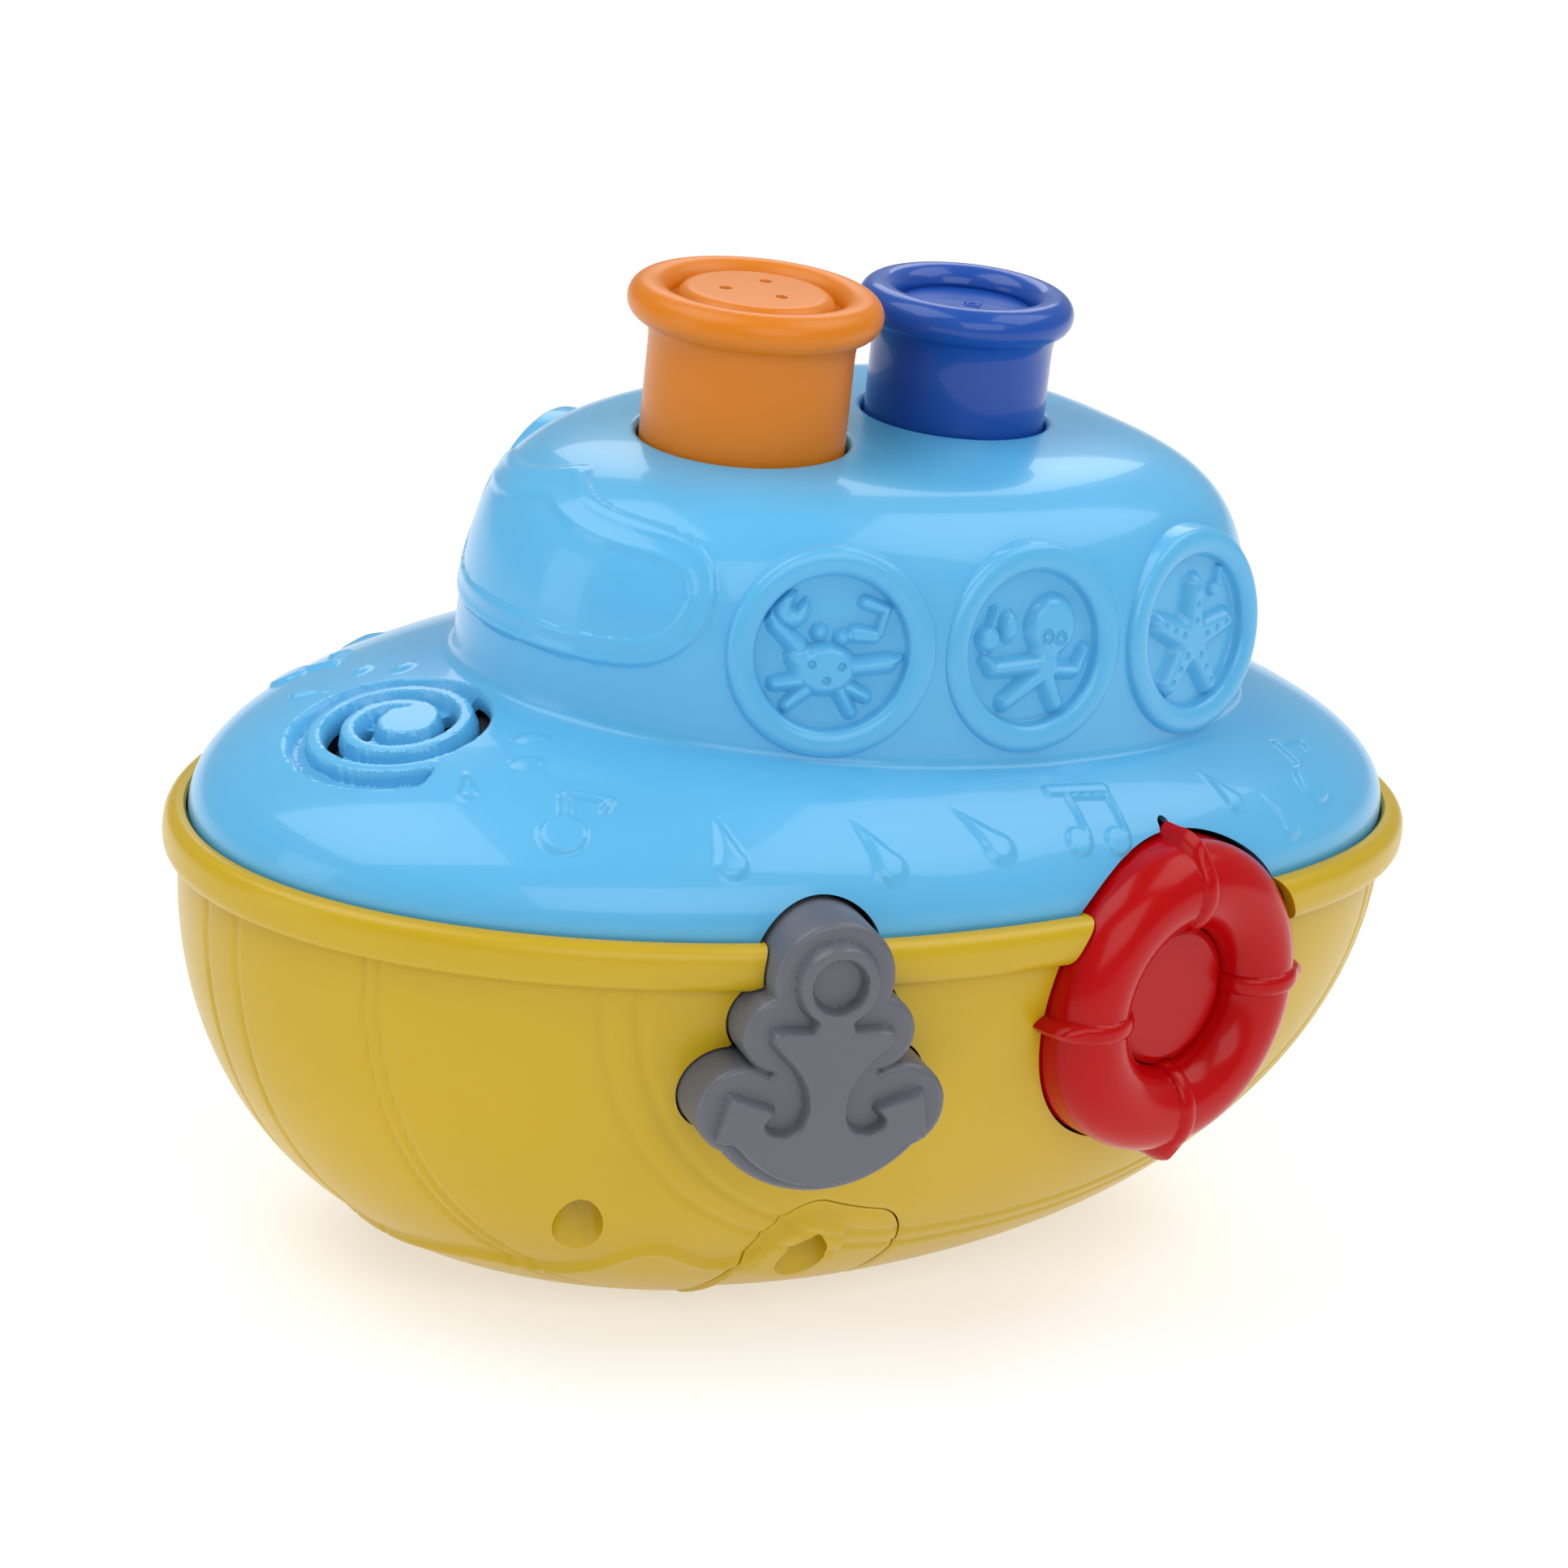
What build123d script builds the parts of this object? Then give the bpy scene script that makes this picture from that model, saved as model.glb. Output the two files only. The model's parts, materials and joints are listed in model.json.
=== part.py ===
from build123d import *

import os
from math import cos, pi, radians, sin

# A toy boat for small children. Millimetres, +X to the bow, +Y to port, +Z up.
# The origin is on the flat bottom that the boat stands on, under the middle of the rim.

# ------------------------------------------------------------------ driving dimensions
# rim: the rounded bead where the yellow hull meets the blue deck
RIM_Z = 75.0
BOW_REACH = 120.0
STERN_REACH = 110.0
HALF_BEAM = 76.5
BOW_POWER = 2.0
STERN_POWER = 2.8
BEAD_INSETS = [(70.1, 4.4), (71.2, 1.2), (73.0, 0.2), (RIM_Z, 0.0), (77.0, 0.5), (78.2, 1.6), (78.8, 3.6)]

# hull bowl below the bead, and its flat bottom
BOWL_TOP_Z = 70.8
BOWL_INSET = 3.1
BASE_FORE = 47.0
BASE_AFT = -24.0
BASE_HALF_WIDTH = 25.0
WALL = 2.4
LEDGE_Z = 72.5

# deck: a skirt inside the rim, a low dome, and the cabin on it
DECK_WALL = 2.2
SKIRT_INSET = 4.1
DOME_Z = 78.8
DOME_HEIGHT = 28.4
DOME_POWER = 2.15
CABIN_X = -13.0
CABIN_FORE = 80.2
CABIN_AFT = 62.0
CABIN_HALF_WIDTH = 53.9
CABIN_STERN_POWER = 2.7
CABIN_Z = 80.0
CABIN_HEIGHT = 63.2
CABIN_POWER = 5.0
ROOF_Z = CABIN_Z + CABIN_HEIGHT

# funnels: plungers that are pressed down through two round holes in the roof
GAP = 0.5
ORANGE_X = 20.2
ORANGE_HOLE_R = 18.0
ORANGE_RIM_R = 21.7
ORANGE_RIM_Z = 165.4
BLUE_X = -25.0
BLUE_HOLE_R = 16.1
BLUE_RIM_R = 18.7
BLUE_RIM_Z = 162.1
FUNNEL_TUBE_R = 3.5
FUNNEL_WALL = 2.0
FUNNEL_TRAVEL = 5.0

# push buttons in the port side: each slides straight in, along its own face normal
ANCHOR_CENTRE = (47.85, 77.8, 61.5)
ANCHOR_HEADING = 73.0
ANCHOR_DEPTH = 22.0
RING_CENTRE = (-28.5, 79.8, 61.0)
RING_HEADING = 97.0
RING_OUTER_R = 27.5
RING_CREST_R = 20.0
RING_INNER_R = 12.5
RING_DEPTH = 20.0
BUTTON_TRAVEL = 3.0
BUTTON_WALL = 2.2
BUTTON_GAP = 0.4
ANCHOR_RELIEF = 2.0
ANCHOR_FOOT = -23.4
FLANGE_REACH = 1.6
PASSAGE_DEPTH = 30.0
PASSAGE_LENGTH = 50.0

# portholes: heading and tilt of each wall normal, port side; the starboard ones mirror them
PORTHOLES = [
    ((30.6, 44.3, 119.0), 66.9, 7.2),
    ((-5.7, 52.5, 118.7), 86.6, 8.5),
    ((-42.6, 50.7, 117.4), 102.9, 7.9),
]
PORTHOLE_R = 17.4
PORTHOLE_LIP_R = 13.6
PORTHOLE_RECESS = 1.3
PORTHOLE_RELIEF_R = 7.0

# speaker grille on the foredeck, and the speaker below it
SPEAKER_X = 85.0
SPEAKER_TILT = 14.0
GRILLE_Z = 98.2
GRILLE_INNER_R = 4.0
GRILLE_OUTER_R = 15.5
GRILLE_TURNS = 2.25
GRILLE_SLOT = 1.6
SPEAKER_R = 18.0

# battery compartment: two AA cells side by side, lying across the boat
DOOR_X = 26.0
DOOR_LENGTH = 29.0
DOOR_REACH = 60.5
DOOR_GAP = 0.35
CELL_R = 7.1
CELL_LENGTH = 50.3
CELL_PITCH = 14.7
CELL_Z = 12.2
TRAY_TOP_Z = 21.5
TRAY_WALL = 1.6
DOOR_SCREW_X = 31.0
DOOR_SCREW_Y = 54.0
DOOR_SEAT_Z = 27.5
TRAY_X = 14.75
TRAY_Y = 29.5
TRAY_SEAT_Z = 18.0
TRAY_POSTS = [4.5, 47.5]

# fasteners
SCREW_R = 1.5
SCREW_HEAD_R = 3.0
SCREW_HEAD_HEIGHT = 2.0
PILOT_R = 1.55
RECESS_R = 4.2
RECESS_WALL = 1.8
RECESS_TOP_Z = 42.0
COLUMN_FOOT_Z = 44.7
COLUMN_R = 4.5
HOUSING_SCREWS = [(70.0, 43.0), (70.0, -43.0), (-62.0, 46.0), (-62.0, -46.0)]
DOOR_SCREWS = [(DOOR_SCREW_X, DOOR_SCREW_Y), (DOOR_SCREW_X, -DOOR_SCREW_Y)]

# funnel frame under the roof
FRAME_Z = 106.0
FRAME_THICK = 2.4
POST_R = 6.0
POST_TOP_Z = 126.0
PIN_R = 2.5
SPRING_R = 8.4
SPRING_WIRE_R = 0.55
SPRING_TURNS = 5
SPRING_SPACE = 29.9
FUNNEL_FLANGE_Z = 134.5
FUNNEL_HUB_R = 9.6
FUNNEL_HUB_BORE_R = 7.2
FRAME_COLUMNS = [(40.0, 24.0), (40.0, -24.0), (-48.0, 24.0), (-48.0, -24.0)]
PIN_TIP_Z = 107.0
FUNNEL_BOARD_Z = 92.0
FUNNEL_BOARD_SCREWS = [38.0, -42.0]

# button guides: a plate across each button's stem, on two lugs
STEM_R = 4.0
STEM_BORE_R = 4.05
STEM_TIP = 11.5
PLATE_SETBACK = 5.0
LUG_SETBACK = 11.0
LUG_SIDE = 17.0
LUG_Z = 38.0
SWITCH_SETBACK = PLATE_SETBACK + 12.4
SWITCH_GAP = 0.3
SWITCH_PLUNGER_R = 1.7
BUTTON_SPRING_R = 5.4
BUTTON_SPRING_WIRE_R = 0.5

# circuit boards
BOARD_Z = 27.0
BOARD_THICK = 1.6
BOARD_SCREWS = [(14.0, 20.0), (14.0, -20.0), (38.0, 20.0), (38.0, -20.0)]
LEAD_R = 0.8

os.makedirs("parts", exist_ok=True)


# ------------------------------------------------------------------ shared shapes
def plan_points(centre_x, fore, aft, half_width, fore_power, aft_power, count=32):
    """Points round a boat-shaped plan: superellipse quarters fore and aft of centre_x."""
    points = []
    for i in range(count):
        angle = 2 * pi * i / count
        c, s = cos(angle), sin(angle)
        reach, power = (fore, fore_power) if c >= 0 else (aft, aft_power)
        radius = (abs(c / reach) ** power + abs(s / half_width) ** power) ** (-1 / power)
        points.append((centre_x + radius * c, radius * s))
    return points


def plan_section(z, *shape):
    """A flat face of that plan at height z."""
    with BuildSketch(Plane.XY.offset(z)) as section:
        with BuildLine():
            Spline(*plan_points(*shape), periodic=True)
        make_face()
    return section.sketch


def rim_section(z, inset):
    reaches = (BOW_REACH - inset, STERN_REACH - inset, HALF_BEAM - inset)
    return plan_section(z, 0, *reaches, BOW_POWER, STERN_POWER)


def bowl_section(z, fullness, inset):
    """Hull section between the flat bottom (fullness 0) and the rim (fullness 1)."""
    top_inset = BOWL_INSET + inset
    fore = BASE_FORE - inset + (BOW_REACH - top_inset - BASE_FORE + inset) * fullness
    aft = -BASE_AFT - inset + (STERN_REACH - top_inset + BASE_AFT + inset) * fullness
    beam = BASE_HALF_WIDTH - inset + (HALF_BEAM - top_inset - BASE_HALF_WIDTH + inset) * fullness
    centre = (BASE_FORE + BASE_AFT) / 2 * (1 - fullness)
    fore_power = 2 + (BOW_POWER - 2) * fullness
    aft_power = 2 + (STERN_POWER - 2) * fullness
    return plan_section(z, centre, fore - centre, aft + centre, beam, fore_power, aft_power)


def bowl_sections(inset, bottom_z, steps=9):
    """Quarter-round profile: the bowl leaves its bottom level and meets the rim upright."""
    sections = []
    for k in range(steps + 1):
        angle = k / steps * pi / 2
        z = bottom_z + (BOWL_TOP_Z - bottom_z) * (1 - cos(angle))
        sections.append(bowl_section(z, sin(angle), inset))
    return sections


def crown_levels(steps, last):
    """Height fractions from 0 to last, closer together towards the top."""
    reach = 1 - (1 - last) ** 0.5
    return [1 - (1 - reach * k / steps) ** 2 for k in range(steps + 1)]


def dome_sections(inset, drop):
    """Deck dome, thinned by inset sideways and by drop upwards."""
    sections = []
    for level in crown_levels(7, 0.9):
        scale = (1 - level**DOME_POWER) ** (1 / DOME_POWER)
        z = DOME_Z + (DOME_HEIGHT - drop) * level
        fore = (BOW_REACH - SKIRT_INSET - inset) * scale
        aft = (STERN_REACH - SKIRT_INSET - inset) * scale
        beam = (HALF_BEAM - SKIRT_INSET - inset) * scale
        sections.append(plan_section(z, 0, fore, aft, beam, BOW_POWER, STERN_POWER))
    return sections


def cabin_sections(inset):
    """Cabin: upright walls that round over into a nearly level roof."""
    sections = []
    for level in crown_levels(10, 0.995):
        scale = (1 - level**CABIN_POWER) ** (1 / CABIN_POWER)
        z = CABIN_Z + (CABIN_HEIGHT - inset) * level
        fore = (CABIN_FORE - inset) * scale
        aft = (CABIN_AFT - inset) * scale
        beam = (CABIN_HALF_WIDTH - inset) * scale
        sections.append(plan_section(z, CABIN_X, fore, aft, beam, 2.0, CABIN_STERN_POWER))
    return sections


def face_plane(centre, heading, depth=0.0):
    """Upright plane facing outwards on a heading; local x runs aft and local y up."""
    turn = radians(heading)
    normal = Vector(cos(turn), sin(turn), 0)
    origin = Vector(*centre) - normal * depth
    return Plane(origin=origin, x_dir=(-sin(turn), cos(turn), 0), z_dir=normal)


def anchor_outline(grow=0.0):
    """Block outline behind the anchor: an eye lobe, two stock lobes and a broad fluke lobe."""
    with BuildSketch(Plane.XY) as outline:
        with Locations((0, 13.2)):
            Circle(10.4 + grow)
        with Locations((-8.2, 4.0), (8.2, 4.0)):
            Circle(6.6 + grow)
        with Locations((-13.8, -8.8), (13.8, -8.8)):
            Circle(7.6 + grow)
        with Locations((0, 0)):
            Rectangle(18 + grow, 22 + grow)
        with BuildLine():
            ThreePointArc((-19.6 - grow, -11.5), (0, ANCHOR_FOOT - grow), (19.6 + grow, -11.5))
            Polyline((19.6 + grow, -11.5), (0, 6), (-19.6 - grow, -11.5))
        make_face()
    return outline.sketch


def save(part, name):
    part.label = name
    export_step(part, f"parts/{name}.step")


anchor_face = face_plane(ANCHOR_CENTRE, ANCHOR_HEADING)
ring_face = face_plane(RING_CENTRE, RING_HEADING)

# deep prisms through the wall that leave each button its clearance
with BuildPart() as anchor_passage:
    with BuildSketch(anchor_face.offset(-PASSAGE_DEPTH)):
        add(anchor_outline(BUTTON_GAP))
    extrude(amount=PASSAGE_LENGTH)

with BuildPart() as ring_passage:
    with BuildSketch(ring_face.offset(-PASSAGE_DEPTH)):
        Circle(RING_OUTER_R + BUTTON_GAP)
    extrude(amount=PASSAGE_LENGTH)


def door_outline(grow):
    """The battery door's outline in plan: a strip right across the bottom with round ends."""
    with BuildSketch(Plane.XY.offset(-1)) as outline:
        with Locations((DOOR_X, 0)):
            RectangleRounded(DOOR_LENGTH + 2 * grow, 2 * (DOOR_REACH + grow), 9)
    return outline.sketch


# ------------------------------------------------------------------ fittings used more than once
BOTTOM = (Align.CENTER, Align.CENTER, Align.MIN)
TOP = (Align.CENTER, Align.CENTER, Align.MAX)


def screw(length):
    """Pan-head screw pointing down, with the underside of its head at z = 0."""
    with BuildPart() as piece:
        Cylinder(SCREW_HEAD_R, SCREW_HEAD_HEIGHT, align=BOTTOM)
        Cylinder(SCREW_R, length, align=TOP)
        with Locations((0, 0, SCREW_HEAD_HEIGHT)):
            Box(3.6, 0.8, 1.6, mode=Mode.SUBTRACT)
            Box(0.8, 3.6, 1.6, mode=Mode.SUBTRACT)
    return piece.part


def coil(radius, wire_r, height, turns):
    """Round-wire coil spring standing on z = 0."""
    rise = height - 2 * wire_r
    with BuildPart() as piece:
        with BuildLine() as path:
            Helix(pitch=rise / turns, height=rise, radius=radius)
        with BuildSketch(Plane(origin=path.line @ 0, z_dir=path.line % 0)):
            Circle(wire_r)
        sweep(is_frenet=True)
    return piece.part.moved(Location((0, 0, wire_r)))


def lead(points, bend):
    """Insulated wire along a filleted polyline."""
    with BuildPart() as piece:
        with BuildLine() as path:
            FilletPolyline(*points, radius=bend)
        with BuildSketch(Plane(origin=path.line @ 0, z_dir=path.line % 0)):
            Circle(LEAD_R)
        sweep()
    return piece.part


def funnel_profile(x, hole_r, rim_r, rim_z, crown_r, crown_z):
    """Half section of a funnel plunger: stem, rolled rim, crown, retaining flange, hub and pin."""
    stem_r = hole_r - GAP
    plate_z = rim_z - 1.0
    upright = Plane(origin=(x, 0, 0), x_dir=(1, 0, 0), z_dir=(0, -1, 0))
    low = (Align.MIN, Align.MIN)
    with BuildSketch(upright) as profile:
        with Locations((stem_r - FUNNEL_WALL, FUNNEL_FLANGE_Z)):
            Rectangle(FUNNEL_WALL, plate_z - FUNNEL_FLANGE_Z, align=low)
        with Locations((stem_r - FUNNEL_WALL, FUNNEL_FLANGE_Z)):
            Rectangle(FUNNEL_WALL + GAP + 1.4, 2.0, align=low)
        with Locations((0, plate_z - FUNNEL_WALL)):
            Rectangle(stem_r, FUNNEL_WALL, align=low)
        with Locations((rim_r - FUNNEL_TUBE_R, rim_z)):
            Circle(FUNNEL_TUBE_R)
        with Locations((0, plate_z - 0.2)):
            Rectangle(crown_r, crown_z - plate_z + 0.2, align=low)
        with Locations((FUNNEL_HUB_BORE_R, FUNNEL_FLANGE_Z + 1.5)):
            Rectangle(FUNNEL_HUB_R - FUNNEL_HUB_BORE_R, plate_z - FUNNEL_WALL - FUNNEL_FLANGE_Z, align=low)
        with Locations((0, PIN_TIP_Z)):
            Rectangle(PIN_R, plate_z - PIN_TIP_Z, align=low)
    return profile.sketch


def button_guide(setback, height):
    """Guide for a button at this height: plate with a sleeve, two lugs and a switch bridge."""
    plate = -(setback + PLATE_SETBACK)
    lug = -(setback + LUG_SETBACK)
    lug_y = LUG_Z - height
    with BuildPart() as piece:
        with Locations((0, 0, plate)):
            Box(26, 22, 2.4, align=TOP)
            Cylinder(6.4, 4.4, align=TOP)
        with Locations((0, (lug_y - 11) / 2 + 0.5, plate)):
            Box(12, -lug_y - 10, 2.4, align=TOP)
        with Locations((0, lug_y + 2.5, plate)):
            Box(2 * LUG_SIDE + 9, 5, 2.4, align=TOP)
        with Locations((LUG_SIDE, lug_y + 1.2, lug + 1), (-LUG_SIDE, lug_y + 1.2, lug + 1)):
            Box(9, 2.4, 11)
        with Locations((LUG_SIDE, lug_y + 1.2, lug), (-LUG_SIDE, lug_y + 1.2, lug)):
            Cylinder(PILOT_R + 0.2, 10, rotation=(90, 0, 0), mode=Mode.SUBTRACT)
        with Locations((9, 0, plate), (-9, 0, plate)):
            Box(4, 14, 12.4, align=TOP)
        with Locations((0, 0, plate)):
            Cylinder(STEM_BORE_R, 40, mode=Mode.SUBTRACT)
    return piece.part


def push_switch():
    """Tactile switch with its plunger up, standing on z = 0."""
    with BuildPart() as piece:
        Box(6, 6, 3.5, align=BOTTOM)
        Cylinder(SWITCH_PLUNGER_R, 5.0, align=BOTTOM)
    return piece.part


def lug_point(face, setback, side):
    """Where a guide's lug screw stands, on the lug's underside."""
    spot = face.from_local_coords((side, 0, -(setback + LUG_SETBACK)))
    return (spot.X, spot.Y)


guide_lugs = []
for plane, depth in ((anchor_face, ANCHOR_DEPTH), (ring_face, RING_DEPTH)):
    for side in (LUG_SIDE, -LUG_SIDE):
        guide_lugs.append(lug_point(plane, depth, side))

speaker_plane = Plane(
    origin=(SPEAKER_X, 0, GRILLE_Z),
    x_dir=(cos(radians(SPEAKER_TILT)), 0, -sin(radians(SPEAKER_TILT))),
    z_dir=(sin(radians(SPEAKER_TILT)), 0, cos(radians(SPEAKER_TILT))),
)

# ------------------------------------------------------------------ hull
with BuildPart() as bowl:
    loft(bowl_sections(0, 0))

with BuildPart() as bowl_cavity:
    loft(bowl_sections(WALL, WALL))

with BuildPart() as hull_posts:
    # tubes for the housing screws, with their heads up inside
    with Locations(*[(x, y, 0) for x, y in HOUSING_SCREWS]):
        Cylinder(RECESS_R + RECESS_WALL, RECESS_TOP_Z + 2.5, align=BOTTOM)
    # bosses for the door screws, carried on ribs from the wall above the door
    for side in (1, -1):
        with Locations((DOOR_SCREW_X, side * DOOR_SCREW_Y, DOOR_SEAT_Z + 2.8)):
            Cylinder(4.4, 7.4, align=BOTTOM)
        with Locations((DOOR_SCREW_X, side * (DOOR_SCREW_Y + 8), DOOR_SEAT_Z + 7.1)):
            Box(4, 16, 3.1, align=BOTTOM)
    # posts for the button guides: three stand on the wall, one hangs on a rib beside the door
    for x, y in guide_lugs[1:]:
        with Locations((x, y, 0)):
            Cylinder(4.4, LUG_Z, align=BOTTOM)
    with Locations((guide_lugs[0][0], guide_lugs[0][1], LUG_Z)):
        Cylinder(4.4, 7, align=TOP)
    with Locations((guide_lugs[0][0], guide_lugs[0][1] + 8, LUG_Z)):
        Box(4, 16, 6, align=TOP)
    # posts for the battery tray
    with Locations(*[(x, 0, 0) for x in TRAY_POSTS]):
        Cylinder(4, TRAY_SEAT_Z - 0.2, align=BOTTOM)
    add(bowl.part, mode=Mode.INTERSECT)

with BuildPart() as hull:
    add(bowl.part)
    loft([rim_section(z, inset) for z, inset in BEAD_INSETS])
    add(bowl_cavity.part, mode=Mode.SUBTRACT)
    with BuildSketch(Plane.XY.offset(BOWL_TOP_Z - 1.5)):
        add(rim_section(0, BOWL_INSET + WALL + 0.4))
    extrude(amount=20, mode=Mode.SUBTRACT)
    with BuildSketch(Plane.XY.offset(LEDGE_Z)):
        add(rim_section(0, SKIRT_INSET - 0.3))
    extrude(amount=20, mode=Mode.SUBTRACT)
    # the opening under the battery door
    extrude(door_outline(DOOR_GAP), amount=40, mode=Mode.SUBTRACT)
    add(anchor_passage.part, mode=Mode.SUBTRACT)
    add(ring_passage.part, mode=Mode.SUBTRACT)
    add(hull_posts.part)
    # screw recesses and pilot holes
    with Locations(*[(x, y, 0) for x, y in HOUSING_SCREWS]):
        Cylinder(RECESS_R, RECESS_TOP_Z, align=BOTTOM, mode=Mode.SUBTRACT)
        Cylinder(PILOT_R, RECESS_TOP_Z + 4, align=BOTTOM, mode=Mode.SUBTRACT)
    with Locations(*[(x, y, DOOR_SEAT_Z + 2.5) for x, y in DOOR_SCREWS]):
        Cylinder(PILOT_R, 7, align=BOTTOM, mode=Mode.SUBTRACT)
    with Locations(*[(x, y, LUG_Z) for x, y in guide_lugs]):
        Cylinder(PILOT_R, 8, align=TOP, mode=Mode.SUBTRACT)
    with Locations(*[(x, 0, TRAY_SEAT_Z) for x in TRAY_POSTS]):
        Cylinder(PILOT_R, 10, align=TOP, mode=Mode.SUBTRACT)
save(hull.part, "hull")

# ------------------------------------------------------------------ battery door
with BuildPart() as swollen_bowl:
    loft(bowl_sections(-1.6, 0))

with BuildPart() as door_bosses:
    # each screw stands in a round boss that swells out of the sloping skin
    with Locations(*[(x, y, DOOR_SEAT_Z + 2.5) for x, y in DOOR_SCREWS]):
        Cylinder(6.2, 20, align=TOP)
    add(swollen_bowl.part, mode=Mode.INTERSECT)

with BuildPart() as battery_door:
    add(bowl.part)
    add(bowl_cavity.part, mode=Mode.SUBTRACT)
    extrude(door_outline(0), amount=35, mode=Mode.INTERSECT)
    add(door_bosses.part)
    with Locations(*[(x, y, DOOR_SEAT_Z) for x, y in DOOR_SCREWS]):
        Cylinder(RECESS_R, 30, align=TOP, mode=Mode.SUBTRACT)
    with Locations(*[(x, y, DOOR_SEAT_Z - 7.5) for x, y in DOOR_SCREWS]):
        Cylinder(PILOT_R, 12, align=BOTTOM, mode=Mode.SUBTRACT)
save(battery_door.part, "battery_door")

with BuildPart() as door_screws:
    with Locations(*[Location((x, y, DOOR_SEAT_Z), (180, 0, 0)) for x, y in DOOR_SCREWS]):
        add(screw(9))
save(door_screws.part, "door_screws")

with BuildPart() as housing_screws:
    with Locations(*[Location((x, y, RECESS_TOP_Z), (180, 0, 0)) for x, y in HOUSING_SCREWS]):
        add(screw(14))
save(housing_screws.part, "housing_screws")

# ------------------------------------------------------------------ battery tray and cells
with BuildPart() as tray_room:
    loft(bowl_sections(WALL + 0.3, WALL + 0.3))

with BuildPart() as battery_tray:
    with Locations((DOOR_X, 0, 2)):
        Box(2 * (TRAY_X + TRAY_WALL), 2 * (TRAY_Y + TRAY_WALL), TRAY_TOP_Z - 2, align=BOTTOM)
        Box(2 * TRAY_X, 2 * TRAY_Y, TRAY_TOP_Z - TRAY_WALL - 2, align=BOTTOM, mode=Mode.SUBTRACT)
    with Locations(*[(x, 0, TRAY_SEAT_Z) for x in TRAY_POSTS]):
        Cylinder(4, 2.5, align=BOTTOM)
    with Locations((TRAY_POSTS[0] + 3, 0, TRAY_SEAT_Z), (TRAY_POSTS[1] - 3, 0, TRAY_SEAT_Z)):
        Box(6, 8, 2.5, align=BOTTOM)
    with Locations(*[(x, y, TRAY_TOP_Z) for x, y in BOARD_SCREWS]):
        Cylinder(3, BOARD_Z - TRAY_TOP_Z, align=BOTTOM)
        Cylinder(PILOT_R, BOARD_Z - TRAY_TOP_Z, align=BOTTOM, mode=Mode.SUBTRACT)
    with Locations(*[(x, 0, TRAY_SEAT_Z - 1) for x in TRAY_POSTS]):
        Cylinder(PILOT_R, 5, align=BOTTOM, mode=Mode.SUBTRACT)
    add(tray_room.part, mode=Mode.INTERSECT)
save(battery_tray.part, "battery_tray")

with BuildPart() as tray_screws:
    with Locations(*[(x, 0, TRAY_SEAT_Z + 2.5) for x in TRAY_POSTS]):
        add(screw(9))
save(tray_screws.part, "tray_screws")


def cell(x, way):
    """AA cell lying across the boat; way is +1 when its button end is to port."""
    turn = Location((x, way * (TRAY_Y - 0.6 - CELL_LENGTH), CELL_Z), (-90 * way, 0, 0))
    with BuildPart() as piece:
        with Locations(turn):
            Cylinder(CELL_R, CELL_LENGTH - 1.1, align=BOTTOM)
            Cylinder(2.6, CELL_LENGTH, align=BOTTOM)
    return piece.part


with BuildPart() as battery_1:
    add(cell(DOOR_X - CELL_PITCH / 2, 1))
save(battery_1.part, "battery_1")

with BuildPart() as battery_2:
    add(cell(DOOR_X + CELL_PITCH / 2, -1))
save(battery_2.part, "battery_2")

with BuildPart() as positive_contacts:
    for x, way in ((DOOR_X - CELL_PITCH / 2, 1), (DOOR_X + CELL_PITCH / 2, -1)):
        with Locations((x, way * (TRAY_Y - 0.3), CELL_Z)):
            Box(9, 0.5, 9)
save(positive_contacts.part, "positive_contacts")

with BuildPart() as negative_contacts:
    for x, way in ((DOOR_X - CELL_PITCH / 2, 1), (DOOR_X + CELL_PITCH / 2, -1)):
        with Locations((x, -way * (TRAY_Y - 0.3), CELL_Z)):
            Box(9, 0.5, 9)
        with Locations(Location((x, -way * (TRAY_Y - 0.6), CELL_Z), (-90 * way, 0, 0))):
            add(coil(3.2, 0.4, 7.2, 3))
save(negative_contacts.part, "negative_contacts")

# ------------------------------------------------------------------ main board
with BuildPart() as main_board:
    with Locations((DOOR_X, 0, BOARD_Z)):
        Box(48, 50, BOARD_THICK, align=BOTTOM)
    with Locations(*[(x, y, 0) for x, y in BOARD_SCREWS]):
        Cylinder(PILOT_R + 0.1, 60, mode=Mode.SUBTRACT)
save(main_board.part, "main_board")

with BuildPart() as board_screws:
    with Locations(*[(x, y, BOARD_Z + BOARD_THICK) for x, y in BOARD_SCREWS]):
        add(screw(6))
save(board_screws.part, "board_screws")

with BuildPart() as sound_chip:
    with Locations((DOOR_X, 0, BOARD_Z + BOARD_THICK)):
        Box(12, 9, 2.0, align=BOTTOM)
        for step in range(6):
            with Locations((-5 + 2 * step, 6, 0), (-5 + 2 * step, -6, 0)):
                Box(0.8, 4, 0.5, align=BOTTOM)
save(sound_chip.part, "sound_chip")

# ------------------------------------------------------------------ deck with its cabin
with BuildPart() as dome:
    loft(dome_sections(0, 0))

with BuildPart() as cabin:
    loft(cabin_sections(0))


def porthole_planes():
    """Faces of the portholes on both sides of the cabin."""
    planes = []
    for (x, y, z), heading, tilt in PORTHOLES:
        for side in (1, -1):
            level = cos(radians(tilt))
            out = (level * cos(radians(heading)), side * level * sin(radians(heading)), sin(radians(tilt)))
            planes.append(Plane(origin=(x, side * y, z), z_dir=out))
    return planes


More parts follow.
